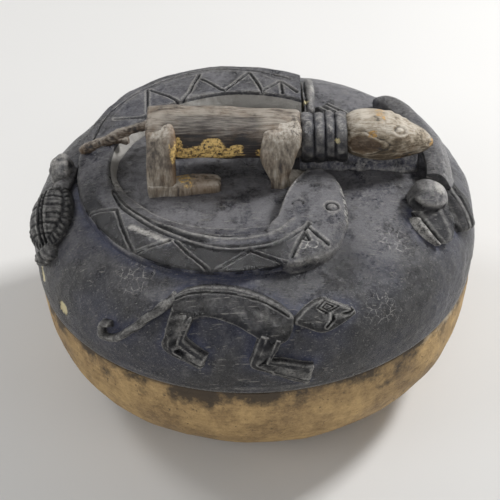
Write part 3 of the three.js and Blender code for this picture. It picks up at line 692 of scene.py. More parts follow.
LID_PAINT = WornPaint("worn blue-black paint on carved hardwood", "lid_paint")
BEAST_PAINT = WornPaint(
    "thick blue-black paint on a low relief", "lid_paint", paint="#111113", slate="#15161e", dust="#2f2e31",
    rubbed="#aaa8a4", fleck="#403f42", roughness=0.24, gloss=0.28,
)
NECK_PAINT = WornPaint(
    "glossy dark paint on a ringed neck", "neck_paint", paint="#2d2c2f", slate="#353640", rubbed="#8f8c87",
    roughness=0.36,
)
HANDLE_WOOD = HandledWood("handled brown hardwood", "handle_wood")
HEAD_WOOD = HandledWood(
    "rubbed pale hardwood", "handle_wood", dark="#5f5342", brown="#928571", grey="#c4bbad", raw="#c39c60",
    fibre=(14.0, 2.0, 2.0), blotch=0.55,
)
LEG_WOOD = HandledWood(
    "handled grey hardwood", "handle_wood", dark="#625950", brown="#918779", grey="#c9c2b8", paint="#333134",
    fibre=(3.4, 3.4, 26.0), blotch=0.32,
)
BOWL_WOOD = BowlWood("adzed tan hardwood", "bowl_wood")
INNER_WOOD = BowlWood(
    "plain tool-cut hardwood", "compartment_wood", tan="#8d7049", shade="#614a30",
    stain_top=80.0, stain_depth=12.0,
)


# The dome that every form on the lid stands on


@dataclass(frozen=True)
class Dome:
    """The lid's outer form, a full-bellied curve turned about Z.

    Attributes:
        radius: of its widest ring.
        rise: from the widest ring to the crown.
        middle: height of the widest ring above the base.
        fullness: exponent of the curve, 2 would be an ellipse.
    """

    radius: float = 184.0
    rise: float = 70.0
    middle: float = 124.0
    fullness: float = 3.3

    @property
    def crown(self) -> float:
        """Height of the crown above the base."""
        return self.middle + self.rise

    def point(self, azimuth: Array, tilt: Array, height: Array | float = 0.0) -> Array:
        """The point at two angles in degrees, some height along the line from the middle of the widest ring.

        The curve's reach is the one at which (rise/its rise)^fullness + (level/its radius)^fullness is 1.
        """
        around, up = np.radians(azimuth), np.radians(tilt)
        rise, level = np.maximum(np.sin(up), 0) / self.rise, np.cos(up) / self.radius
        away = (rise**self.fullness + level**self.fullness) ** (-1 / self.fullness) + height
        flat, rise = away * np.cos(up), away * np.sin(up)
        return np.stack([flat * np.cos(around), flat * np.sin(around), self.middle + rise], axis=-1)

    def over(self, x: Array, y: Array, grow: float = 0.0, tip: float = 0.0) -> Array:
        """The height above the base over a place in plan, with the dome grown, and tipped up at the back.

        The tipped curve is met by turning the place back by the tip and reading the level curve, five times
        over.
        """
        sine, cosine = math.sin(math.radians(tip)), math.cos(math.radians(tip))
        rise = np.zeros(np.shape(x)) + self.rise
        for _ in range(5):
            back = cosine * y + sine * rise
            reach = np.clip(np.hypot(x, back) / (self.radius + grow), 0, 0.999)
            curve = (self.rise + grow) * (1 - reach**self.fullness) ** (1 / self.fullness)
            rise = (curve + sine * y) / cosine
        return self.middle + rise

    def stand(self, azimuth: float, tilt: float, height: float = 0.0, turn: float = 0.0) -> Array:
        """The frame of a place: columns are level round the dome, up the dome, away from it, and the place.

        Args:
            azimuth: the place's angle round Z.
            tilt: the place's angle above level.
            height: how far off the dome it lies.
            turn: degrees that the first two directions are turned towards each other's place.

        Returns:
            a 3 x 4 array.
        """
        place = self.point(azimuth, tilt, height)
        level = self.point(azimuth + 0.5, tilt, height) - place
        level /= np.linalg.norm(level)
        climb = self.point(azimuth, tilt + 0.5, height) - place
        away = np.cross(level, climb)
        away /= np.linalg.norm(away)
        climb = np.cross(away, level)
        cosine, sine = math.cos(math.radians(turn)), math.sin(math.radians(turn))
        return np.stack([cosine * level + sine * climb, cosine * climb - sine * level, away, place], axis=1)


DOME = Dome()


def lift(line: Line | Array, height: float = 0.0) -> Array:
    """A line of [azimuth, tilt] pairs as points on the dome."""
    line = np.asarray(line, float)
    return DOME.point(line[:, 0], line[:, 1], height)


def full_turn(columns: int) -> Array:
    """Even angles round a full turn, in radians."""
    return np.linspace(0, 2 * np.pi, columns, endpoint=False)


def turned(profile: Array, columns: int) -> Skin:
    """A profile of [radius, height] turned about Z: each of its points becomes a level circle."""
    around = full_turn(columns)
    radius, height = profile[:, 0:1], profile[:, 1:2]
    return Skin(np.stack([radius * np.cos(around), radius * np.sin(around), height + 0 * around], axis=-1))


def section(columns: int, exponent: float) -> tuple[Array, Array]:
    """A closed round-cornered section from -1 to 1 both ways.

    Sine and cosine are each raised to 2 over the exponent with their sign kept: 2 gives a circle, more
    gives flatter sides.
    """
    turn = full_turn(columns)
    across, up = np.cos(turn), np.sin(turn)
    power = 2 / exponent
    return np.sign(across) * np.abs(across) ** power, np.sign(up) * np.abs(up) ** power


def low_relief(
    edge_a: Line, edge_b: Line, relief: float, rows: int = 140, columns: int = 44, soft: float = 3.6,
    round_ends: tuple[float, float] = (0.0, 0.0),
) -> tuple[Skin, Array]:
    """A low relief between two lines on the dome.

    A point's share across it follows a round-cornered arch from one edge to the other, and its height is
    that arch times the relief. Under the arch the form goes straight down into the dome.

    Args:
        edge_a: one edge, [azimuth, tilt] pairs.
        edge_b: the other edge, of as many stretches as is wanted.
        relief: height over the dome.
        rows: points along.
        columns: points over the arch.
        soft: exponent of the arch.
        round_ends: length over which the height rises from each end, in millimetres.

    Returns:
        the skin, and for each of its points the foot on the dome below it.
    """
    side_a, side_b = smooth_line(edge_a, rows), smooth_line(edge_b, rows)
    turn = np.linspace(np.pi, 0, columns)
    share = 0.5 + 0.5 * np.sign(np.cos(turn)) * np.abs(np.cos(turn)) ** (2 / soft)
    arch = np.abs(np.sin(turn)) ** (2 / soft)
    share = np.concatenate([[0.0], share, [1.0, 0.7, 0.3]])[None, :, None]
    height = np.concatenate([[0.0], arch * relief, [0.0] * 3])
    under = np.concatenate([[1.0], np.zeros(columns), [1.0] * 3]) * SINK
    angles = side_a[:, None] * (1 - share) + side_b[:, None] * share
    foot = DOME.point(angles[..., 0], angles[..., 1])
    along = np.linalg.norm(np.diff(foot.mean(axis=1), axis=0), axis=1)
    travelled = np.concatenate([[0.0], np.cumsum(along)])
    rise = np.ones(rows)
    for length, distance in zip(round_ends, (travelled, travelled[-1] - travelled)):
        if length > 0:
            rise *= np.sqrt(1 - np.clip(1 - distance / length, 0, 1) ** 2)
    total = rise[:, None] * height - under
    skin = Skin(DOME.point(angles[..., 0], angles[..., 1], total))
    width = np.linalg.norm(foot[:, 1] - foot[:, columns], axis=1)[:, None]
    inside = np.minimum(share, 1 - share)[..., 0] * width
    # A painted highlight along the relief's rounded edges
    skin.values["edge"] = bump(inside - 1.1, 0.8, 0.75) * (height > 0.3 * relief)
    return skin, foot


def ridge_along(
    line: Line, width: Array | float, relief: Array | float, rows: int, columns: int = 40, soft: float = 2.4
) -> tuple[Skin, Array]:
    """A rounded ridge along a line on the dome.

    At each step the section stands square to the line: sideways by the width, up by the relief times a
    round-cornered arch, and down into the dome below.

    Args:
        line: [azimuth, tilt] pairs.
        width: full width, one number or one per row.
        relief: height over the dome, the same.
        rows: points along.
        columns: points round the section.
        soft: exponent of the arch.

    Returns:
        the skin, and the share along it from 0 to 1 with the share across from -1 to 1 for each point.
    """
    middle = lift(smooth_line(line, rows))
    out = lift(smooth_line(line, rows), 1.0) - middle
    along = np.gradient(middle, axis=0)
    along /= np.linalg.norm(along, axis=1, keepdims=True)
    side = np.cross(along, out)
    side /= np.linalg.norm(side, axis=1, keepdims=True)
    across, up = section(columns, soft)
    half = np.broadcast_to(np.asarray(width, float) / 2, rows)[:, None, None]
    high = np.broadcast_to(np.asarray(relief, float), rows)[:, None, None]
    tall = np.where(up[None, :, None] > 0, high * up[None, :, None], SINK * up[None, :, None])
    points = middle[:, None] + side[:, None] * half * across[None, :, None] + out[:, None] * tall
    shares = np.stack(np.broadcast_arrays(np.linspace(0, 1, rows)[:, None], across[None, :]), axis=-1)
    return Skin(points), shares


def globe(rows: int, columns: int) -> Array:
    """Unit directions over a sphere: rows run from one pole of X to the other."""
    polar = np.linspace(0, np.pi, rows)[:, None]
    around = full_turn(columns)[None, :]
    points = np.stack(
        [np.cos(polar) + 0 * around, np.sin(polar) * np.cos(around), np.sin(polar) * np.sin(around)], axis=-1
    )
    points[[0, -1], :, 1:] = 0
    return points


def placed(local: Array, stand: Array) -> Array:
    """Points given in a stand's frame, in the frame of the object."""
    return local @ stand[:, :3].T + stand[:, 3]


def bar_along_x(
    x: Array, middle: Array, half_depth: Array, half_height: Array, columns: int, exponent: float
) -> Skin:
    """A bar along X: at each step a round-cornered section of its own middle height, depth and height."""
    across, up = section(columns, exponent)
    y = half_depth[:, None] * across
    z = middle[:, None] + half_height[:, None] * up
    return Skin(np.stack([x[:, None] + 0 * y, y, z], axis=-1))


def through(profile: Line, share: Array, columns: int = 1) -> Array:
    """Values read off a smooth line through [share, value] pairs."""
    line = smooth_line(profile, 400)
    return np.stack([np.interp(share, line[:, 0], line[:, k + 1]) for k in range(columns)], axis=-1).squeeze()


# Bowl


@dataclass
class Bowl:
    """The round bowl with its compartments.

    Attributes are in millimetres: the seam's radius, the bowl's height, how much the flat base cuts off its
    curve, the curve's fullness, wall, floor, lip, and the compartments.
    """

    seam_radius: float = 180.0
    height: float = SEAM
    base_trim: float = 5.0
    fullness: float = 2.9
    wall: float = 14.0
    floor: float = 14.0
    lip_height: float = 8.0
    lip_thickness: float = 6.0
    well_radius: float = 44.0
    well_wall: float = 9.0
    well_height: float = 60.0
    partitions: int = 4
    partition_thickness: float = 9.0
    partition_height: float = 54.0
    partition_start: float = 45.0

    def curve(self, reach: float, rise: float, low: float) -> Array:
        """[radius, height] down a full-bellied curve from the seam to a height above the base."""
        turn = np.linspace(0, np.arcsin(((self.height - low) / rise) ** (self.fullness / 2)), 260)
        radius = reach * np.cos(turn) ** (2 / self.fullness)
        return np.stack([radius, self.height - rise * np.sin(turn) ** (2 / self.fullness)], axis=1)

    def shell(self) -> Skin:
        """The wall: up the outside, over the stepped rim, down the inside to the floor."""
        outer = even_line(self.curve(self.seam_radius, self.height + self.base_trim, 0.0)[::-1], 2.4)
        cavity = self.seam_radius - self.wall
        depth = self.height - self.floor
        inner = even_line(self.curve(cavity, depth + self.base_trim, self.floor), 4.0)
        lip, top = cavity + self.lip_thickness, self.height + self.lip_height
        rim = [
            [self.seam_radius - 1.2, self.height], [lip + 0.6, self.height], [lip, self.height + 0.6],
            [lip, top - 1.2], [lip - 1.2, top], [cavity + 1.2, top], [cavity, top - 1.2],
        ]
        base = [[0.0, 0.0], [outer[0, 0] * 0.3, 0.0], [outer[0, 0] * 0.7, 0.0], [outer[0, 0] - 1.5, 0.0]]
        inside = [[inner[-1, 0] * 0.5, self.floor], [0.0, self.floor]]
        brink = [[self.seam_radius, self.height - 1.2]]
        skin = turned(np.concatenate([base, outer[:-1], brink, rim, inner, inside]), 420)
        x, y, z = np.moveaxis(skin.points, -1, 0)
        outside = step_up(z, 3, 20) * (skin.normals()[..., 2] < 0.5)
        high = step_up(z, self.height - 16, self.height - 3)
        scuffed = bump(np.degrees(np.arctan2(y, x)) + 33, 15, 1.0)
        skin.values["scuff"] = 0.8 * outside * high * scuffed
        skin.values["dark"] = 0.8 * outside * step_up(z, self.height - 4, self.height - 1)
        marks = unevenness(skin.points, 60, 0.6, 11) + scoops(skin.points, 15, 0.6, 12)
        return skin.raise_by(marks * outside)

    def ring(self) -> Skin:
        """The wall of the round middle compartment: an upright round-cornered section turned about Z."""
        across, up = section(48, 7)
        radius = self.well_radius + self.well_wall / 2 + across * self.well_wall / 2
        height = self.floor + self.well_height / 2 + 0.15 + up * (self.well_height / 2 - 0.15)
        skin = turned(np.stack([radius, height], axis=1), 180)
        skin.ring = True
        return skin.raise_by(unevenness(skin.points, 30, 0.3, 5))

    def partition(self, number: int) -> Skin:
        """One upright partition from the ring to the wall, its foot following the inside of the bowl."""
        depth = self.height - self.floor
        wall = self.curve(self.seam_radius - self.wall - 0.4, depth + self.base_trim, self.floor)[::-1]
        top = self.floor + self.partition_height
        end = np.interp(top - 1, wall[:, 1], wall[:, 0])
        radius = np.linspace(self.well_radius + self.well_wall + 0.4, end, 60)
        low = np.where(radius < wall[0, 0], self.floor, np.interp(radius, wall[:, 0], wall[:, 1])) + 0.4
        across, up = section(40, 7)
        thick = self.partition_thickness / 2 * across[None, :]
        z = (low + top)[:, None] / 2 + (top - low)[:, None] / 2 * up[None, :]
        turn = math.radians(self.partition_start + number * 360 / self.partitions)
        x = radius[:, None] * math.cos(turn) - thick * math.sin(turn)
        y = radius[:, None] * math.sin(turn) + thick * math.cos(turn)
        skin = Skin(np.stack([x, y, z], axis=-1))
        return skin.raise_by(unevenness(skin.points, 30, 0.25, 20 + number))

    def build(self) -> None:
        """Makes the bowl's pieces."""
        make_piece("bowl_wall", [self.shell()], Body.BOWL, ["bowl_shell"], BOWL_WOOD)
        make_piece("middle_compartment_wall", [self.ring()], Body.BOWL, ["centre_well_ring"], INNER_WOOD)
        for number in range(self.partitions):
            name = f"partition_{number + 1}"
            make_piece(f"{name}_board", [self.partition(number)], Body.BOWL, [name], INNER_WOOD)


# Lid


@dataclass
class Lid:
    """The hollow domed lid.

    Attributes are in millimetres, apart from the chips, the crazed places and the front places painted in
    shade, azimuth, tilt and size of each, and the claw's three toes, [azimuth, tilt] pairs.
    """

    edge_tuck: float = 2.5
    wall: float = 14.0
    gap: float = 0.3
    rebate_radius: float = 173.0
    rebate_top: float = 115.0
    chips: Line = line_of([-162.6, 5.8, 8.0], [-160.8, 3.2, 8.0], [-148.1, 1.6, 8.5], [-124.4, 18.2, 1.6])
    crazed: Line = line_of([-128, 20, 17], [-57, 12, 14], [-66, 27, 10], [-40, 22, 13])
    shaded_front: Line = line_of([-78, 27, 26], [-62, 25, 22])
    claw: list[Line] = line_of(
        [[53, 32.3], [49.1, 32.6], [44, 32.5], [38.5, 32.4]],
        [[53, 33.6], [47.7, 33.9], [42.7, 34], [37.2, 34]],
        [[54.8, 35.2], [49.5, 35.6], [44.6, 35.9], [40.3, 36.4]],
    )

    def near(self, points: Array, places: Line) -> Array:
        """1 at the middle of the places, falling to 0 at about twice their size."""
        total = np.zeros(points.shape[:-1])
        for azimuth, tilt, size in places:
            away = np.linalg.norm(points - DOME.point(azimuth, tilt), axis=-1)
            total = np.maximum(total, np.exp(-((away / size) ** 2)))
        return total

    def quarter(self, radius: float, rise: float) -> Array:
        """[radius, height] down the dome's kind of curve, from the axis to the level of its widest ring."""
        turn = np.linspace(np.pi / 2, 0, 400)
        power = 2 / DOME.fullness
        line = np.stack([radius * np.cos(turn) ** power, DOME.middle + rise * np.sin(turn) ** power], axis=1)
        line[0, 0] = 0.0
        return line

    def shell(self) -> Skin:
        """Down the outside from the crown, under the edge, through the rebate and up the hollow."""
        outer = even_line(self.quarter(DOME.radius, DOME.rise), 2.2)
        foot = DOME.radius - self.edge_tuck
        low = SEAM + self.gap
        edge = even_line(np.array([[DOME.radius, DOME.middle], [foot, low + 1.0]]), 2.2)[1:]
        hollow_radius = DOME.radius - self.wall
        rim = [
            [foot - 1.0, low], [self.rebate_radius, low], [self.rebate_radius, self.rebate_top],
            [hollow_radius, self.rebate_top], [hollow_radius, DOME.middle - 3],
        ]
        hollow = self.quarter(hollow_radius, DOME.rise - self.wall)[::-1]
        skin = turned(np.concatenate([outer, edge, rim, even_line(hollow, 6.0)]), 520)
        outside = np.zeros(skin.points.shape[:2])
        outside[1 : len(outer) + len(edge) - 3] = 1.0
        marks = unevenness(skin.points, 55, 0.5, 3) + scoops(skin.points, 15, 1.0, 6)
        skin.raise_by((marks - 0.45) * outside)
        chips = self.near(skin.points, self.chips) * outside
        skin.raise_by(-1.2 * step_up(chips, 0.4, 0.7))
        skin.values["bare"] = chips * 0.9
        skin.values["craze"] = step_up(self.near(skin.points, self.crazed), 0.25, 0.6) * outside
        inside = np.zeros(skin.points.shape[:2])
        inside[len(outer) + len(edge) :] = 0.5
        # A painted shade over the middle of the front, between the serpent and the beast
        glossy = 0.6 * np.clip(self.near(skin.points, self.shaded_front) * 1.3, 0, 1) * outside
        skin.values["dark"] = np.maximum(inside, glossy)
        skin.values["blue"] = self.corners(skin.points) * outside
        serpent = Serpent()
        level = (skin.points[..., :2] - serpent.inner_centre) / serpent.inner_half
        panel = step_up(1.05 - np.linalg.norm(level, axis=-1), 0, 0.1)
        behind = step_up(skin.points[..., 0], 40, 60) * step_up(skin.points[..., 1], 20, 50)
        # Settled grey grime and painted light on the panel inside the serpent and at the back right, and a
        # painted highlight with pale scuffs on the right shoulder
        shoulder = self.near(skin.points, [[-27, 33, 34], [-12, 36, 26], [-42, 26, 22]])
        skin.values["dusty"] = np.maximum(np.maximum(0.5 * panel, 0.45 * behind), 0.8 * shoulder) * outside
        skin.values["scuff"] = 0.5 * shoulder * outside
        skin.values["calm"] = 0.65 * outside
        return skin

    def corners(self, points: Array) -> Array:
        """1 beside the foot of the beast, the bill and the serpent, falling off within about 8 mm."""
        beast, bird = FrontBeast(), Bird()
        lines = [
            beast.back, beast.belly, beast.brow, beast.jaw, beast.hind_outer, beast.hind_inner,
            beast.fore_outer, beast.fore_inner, beast.tail_line, bird.upper_left, bird.lower_left,
            bird.wing_inner,
        ]
        near = np.full(points.shape[:-1], 1e3)
        close = points[..., 2] > SEAM
        for line in lines:
            near[close] = np.minimum(near[close], distance_to(points[close], lift(smooth_line(line, 16))))
        turn = np.radians(np.linspace(175, 300, 60))
        outer, _ = Serpent().ovals(turn, turn)
        foot = np.column_stack([outer, DOME.over(outer[:, 0], outer[:, 1])])
        near[close] = np.minimum(near[close], distance_to(points[close], foot))
        return np.exp(-((near / 6) ** 2))

    def claws(self) -> list[Skin]:
        """Three long toes in low relief behind the serpent, side by side."""
        share = np.linspace(0, 1, 50)
        high = 5.0 * round_off(share, 0.86, 0.15) * np.sqrt(np.clip(share / 0.1, 0.05, 1))
        toes = [ridge_along(line, 4.8, high, rows=50, columns=26) for line in self.claw]
        for skin, shares in toes:
            skin.values["dark"] = 0.95 * step_up(np.abs(shares[..., 1]), 0.55, 0.8)
            # A pale crest, rubbed and partly a painted highlight
            skin.values["edge"] = bump(shares[..., 1], 0.5, 0.8)
        return [skin for skin, _ in toes]

    def build(self) -> None:
        """Makes the lid's shell."""
        make_piece("lid_shell", [self.shell(), *self.claws()], Body.LID, ["lid_dome"], LID_PAINT)


# Serpent


@dataclass
class Serpent:
    """The serpent lying round the crown, its head at the front right and its tail's end at the back right.

    Attributes are in millimetres in plan: the two ovals between which its body lies and the outer one's
    bulge at the back left, its relief and tip, the outline of its head, its eyes, the lines of its carving,
    and the bar across its tail.
    """

    outer_centre: tuple[float, float] = (-17.0, -0.5)
    outer_half: tuple[float, float] = (126.0, 134.0)
    bulge: float = 10.5
    bulge_turn: float = 120.0
    bulge_spread: float = 60.0
    inner_centre: tuple[float, float] = (-13.0, -2.5)
    inner_half: tuple[float, float] = (103.0, 91.5)
    relief: float = 11.0
    tip: float = 2.3
    head_relief: float = 9.0
    head_outline: Line = line_of(
        [10, -92], [17.5, -79], [22, -63], [28, -46], [37, -29.5], [45, -19.5], [55, -15.9], [63, -21.5],
        [69, -34], [73, -53], [74, -70], [71.5, -89], [65.5, -106], [57, -118], [42, -126.8], [26, -131],
        [16, -124], [12, -108],
    )
    first_ridge: Line = line_of(
        [-110, -30], [-102.2, -48.7], [-81.9, -70.6], [-58.1, -90.4], [-34.6, -100.3], [-3.5, -103],
        [20.1, -94.8], [31.4, -85.1],
    )
    second_ridge: Line = line_of(
        [-110, -38], [-102, -56.8], [-81.8, -79.5], [-58.1, -97.9], [-34.7, -109.8], [-11.5, -113.6],
        [11.8, -109.6], [27.6, -102], [43, -89.8],
    )
    inner_groove: Line = line_of(
        [-115.3, -16.6], [-106.6, -35.8], [-98.3, -48.2], [-90, -59], [-74, -73.9], [-58.1, -87],
        [-42.4, -94.2], [-23, -99.1], [-4, -97.5],
    )
    zigzags: list[Line] = line_of(
        [[-131.3, -58.4], [-122.2, -57.3], [-109.1, -58.2], [-107.5, -64.8], [-104.8, -76.3], [-99.8, -93.1],
         [-94.9, -106]],
        [[-92.5, -107], [-81.6, -103.7], [-65.9, -99.5]],
        [[-62, -100.5], [-52.7, -114], [-36.6, -132.1]],
        [[-32.8, -134.8], [-19.5, -126.5], [-3.8, -115.6], [7.6, -121.6], [23.5, -128.8]],
        [[43, -90.1], [37.7, -102.4], [28.3, -124.3]],
        [[42.7, -95.7], [49.4, -103.3], [56.7, -111.6]],
        [[40.1, -101.3], [37.6, -106.7], [42.2, -107.8], [40.1, -101.3]],
        [[-113.6, 62.4], [-92.3, 59.5], [-85.6, 62.7]],
        [[-87, 104.9], [-86.1, 66.7]],
        [[-84.8, 103.1], [-67.4, 87], [-60.4, 78.4]],
        [[-56.2, 80.1], [-50.3, 92.3], [-42.8, 121.9]],
        [[-40.1, 113.5], [-24.8, 93.8], [-20.5, 91.7], [-11.9, 102.6], [-0.5, 119.7]],
        [[1.2, 118.6], [6.1, 104.6], [10.8, 87.8], [25.7, 102.1]],
        [[27.4, 102], [28.1, 83.9]],
        [[29.1, 100.3], [40.4, 85.2]],
    )
    rim_groove: Line = line_of(
        [-131, 36], [-127.5, 52], [-118.4, 75], [-108, 89.5], [-93.5, 104.6], [-76.5, 116.2], [-59.3, 125.2],
        [-42, 130.2], [-28.9, 130.6], [-15.9, 129.5], [-3, 126.9], [9.9, 121.9], [22.6, 114.7], [35.3, 107.2],
    )
    rim_ridge: Line = line_of(
        [-116.2, 64.2], [-109.9, 78.6], [-101.8, 92.5], [-84.9, 104.1], [-63.5, 117], [-33.3, 125],
        [-20.3, 124.9], [1.3, 121.5], [11.5, 115.1], [26.6, 102.1], [41.4, 86.9],
    )
    field_edge: Line = line_of(
        [-66, -123.7], [-50.5, -129.6], [-31.3, -134.4], [-4.4, -134.9], [14.9, -132.4], [30.4, -129.2],
    )
    head_edge: Line = line_of(
        [6.8, -91], [12.5, -87.1], [18.8, -78.8], [22.8, -65.5], [27.2, -53.1], [31, -44.2], [37.2, -33],
        [45.5, -23],
    )
    strokes: Line = line_of([-97, -80], [-84, -89], [-69, -100])
    eye_scar: tuple[float, float] = (35.3, -67.0)
    eye_boss: tuple[float, float] = (61.9, -71.8)
    tail_bar_x: float = 50.0
    tail_bar_width: float = 12.0
    tail_bar_span: tuple[float, float] = (67.0, 127.0)
    tail_bar_relief: float = 8.0

    def ovals(self, outer_turn: Array, inner_turn: Array) -> tuple[Array, Array]:
        """Places in plan on the outer oval, which swells round the bulge's turn, and on the inner one."""
        share = np.clip((np.degrees(outer_turn) - self.bulge_turn) / self.bulge_spread, -1, 1)
        swollen = np.array(self.outer_half) + (self.bulge * np.cos(np.pi / 2 * share) ** 2)[:, None]
        outer, inner = (np.stack([np.cos(turn), np.sin(turn)], axis=-1) for turn in (outer_turn, inner_turn))
        return self.outer_centre + swollen * outer, self.inner_centre + self.inner_half * inner

    def carving(self, plan: Array) -> tuple[Array, Array, Array]:
        """The carving of the back at each place in plan.

        Two ridges run along the inner edge with a trough between them, where both are equally far off, and
        a groove outside. A zigzag of thin cuts with a lip fills the field, and a groove sets off its rim.

        Args:
            plan: places, [x, y].

        Returns:
            the height that the carving adds, how dark its cuts are, and how rubbed its ridges.
        """
        first = distance_to(plan, smooth_line(self.first_ridge, 50))
        ridge = smooth_line(self.second_ridge, 60)
        second = distance_to(plan, ridge)
        outwards = ridge - self.inner_centre
        outwards /= np.linalg.norm(outwards, axis=1, keepdims=True)
        outside = distance_to(plan, ridge + 2.5 * outwards)
        inside = distance_to(plan, smooth_line(self.inner_groove, 50))
        rim = distance_to(plan, smooth_line(self.rim_groove, 60))
        stripe = distance_to(plan, smooth_line(self.rim_ridge, 60))
        border = distance_to(plan, smooth_line(self.field_edge, 30))
        height = bump(first, 1.6, 1.1) + bump(second, 1.3, 0.8)
        height += bump(stripe, 1.3, 0.45) + bump(border, 1.0, 0.3)
        trough = bump(first - second, 3.4, 1.6) * step_up(10.0 - first - second, 0, 2.2)
        height -= trough + vee(outside, 1.1, 1.2) + vee(inside, 1.6, 1.7) + vee(rim, 1.5, 1.5)
        dark = 0.75 * vee(outside, 1.3, 1.0) + 0.8 * vee(inside, 1.8, 1.0) + 0.7 * vee(rim, 1.6, 1.0)
        dark += 0.8 * np.clip(trough, 0, 1)
        rubbed = bump(first, 1.2, 1.0) + bump(second, 1.0, 1.0)
        rubbed += bump(stripe, 1.0, 0.55) + bump(border, 0.8, 0.4)
        cuts = np.zeros(plan.shape[:-1])
        for line in self.zigzags:
            away = distance_to(plan, np.asarray(line, float))
            cuts = np.maximum(cuts, vee(away, 1.5, 1.0))
            height += bump(away - 2.3, 0.8, 0.35)
            rubbed = np.maximum(rubbed, bump(away - 1.9, 0.7, 0.75))
        return height - 1.7 * cuts, np.clip(dark + 1.0 * cuts, 0, 1), np.clip(rubbed, 0, 1)

    def glossy(self, plan: Array) -> Array:
        """How dark the glossy paint outside the ridges is, in front: 0 inside 14 mm from the inner oval."""
        level = np.linalg.norm((plan - self.inner_centre) / self.inner_half, axis=-1) - 1
        return 0.92 * step_up(level * 95, 13, 17) * step_up(-plan[..., 1], 10, 60)

    def body(self) -> Skin:
        """The broad flat ring.

        Rows step round both ovals together. Columns climb a slope inside the inner one, steep behind and a
        flat ledge in front, cross the back at the height of the grown and tipped dome, and go down the outer
        wall and back below.
        """
        rows, slope, top, wall = 740, 14, 84, 8
        outer_turn, inner_turn = np.linspace(61, 292, rows), np.linspace(56.7, 294.7, rows)
        outer, inner = self.ovals(np.radians(outer_turn), np.radians(inner_turn))
        width = np.linalg.norm(outer - inner, axis=1)[:, None]
        inwards = (inner - outer) / width
        front = step_up(-inner[:, 1], 0, 60)[:, None]
        shelf = 5.0 + 4.5 * front
        # By column: 1 to 0 down the slope, 0 to 1 over the top, and 0 to 1 down the walls
        descent = [[1.0], np.linspace(1, 0, slope, endpoint=False), np.zeros(top + wall + 3)]
        share = [np.zeros(slope + 1), np.linspace(0, 1, top), np.ones(wall), [0.75, 0.5, 0.25]]
        fall = [[1.0], np.zeros(slope + top), np.linspace(0.12, 1, wall), [1, 1, 1]]
        descent, share, fall = (np.concatenate(parts)[None, :] for parts in (descent, share, fall))
        plan = inner[:, None] + (outer - inner)[:, None] * share[..., None]
        plan = plan + inwards[:, None] * (shelf * descent)[..., None]
        x, y = plan[..., 0], plan[..., 1]
        from_inner, from_outer = width * share, width * (1 - share)
        carved, dark, rubbed = self.carving(plan)
        on_top = (share > 0) & (fall == 0)
        drop = rounded_edge(from_outer, 3.5) + (1 - front) * rounded_edge(from_inner, 3.2)
        drop += front * 3.0 * (1 - step_up(from_inner, 0.5, 4.5))
        crown = DOME.over(x, y, self.relief, self.tip)
        crown -= np.where(on_top | (descent > 0) | (share == 0), drop, 0)
        bare = DOME.over(x, y)
        # The slope: steep behind, and in front a ledge that ends in a small step
        steep = (1 - descent) ** 0.8
        ledge = 0.34 + 0.6 * (1 - descent) ** 1.3
        ledge = np.where(descent > 0.93, ledge * np.clip((1.0 - descent) / 0.07, 0.1, 1), ledge)
        rise = (1 - front) * steep + front * ledge
        surface = np.where(descent > 0, bare + 0.8 + (crown - bare - 0.8) * rise, crown)
        surface = surface + carved * np.where(on_top, step_up(from_outer, 0.5, 3.0), 0) * (fall == 0)
        z = surface + (bare - SINK - surface) * fall
        skin = Skin(np.stack([x, y, z], axis=-1))
        lit = (fall == 0) * 1.0
        behind = (1 - front) * (descent > 0)
        skin.values["dark"] = dark * lit * (descent == 0)
        skin.values["edge"] = rubbed * lit * (descent == 0)
        # The steep slope behind is rubbed pale, and so is the small step in front
        skin.mark("edge", 0.8 * behind * lit)
        skin.mark("edge", front * bump(descent - 0.9, 0.07, 0.55) * lit)
        # Pale strokes on the left of the front field: scuffs that are partly painted highlights
        stroke = distance_to(plan, np.asarray(self.strokes, float))
        skin.values["scuff"] = np.maximum(bump(stroke, 4.5, 0.95), 1.3 * behind) * lit
        skin.values["calm"] = behind
        paint = self.glossy(plan) * (1 - 0.8 * rubbed) * (1 - bump(stroke, 7.0, 1.0))
        skin.mark("dark", paint * lit)
        skin.values["blue"] = 0.7 * front * step_up(share, 0.97, 1.0) * (1 - (fall == 1))
        height = unevenness(skin.points, 26, 0.3, 8) + scoops(skin.points, 8, 0.4, 17)
        return skin.raise_by(height * (fall < 0.5))

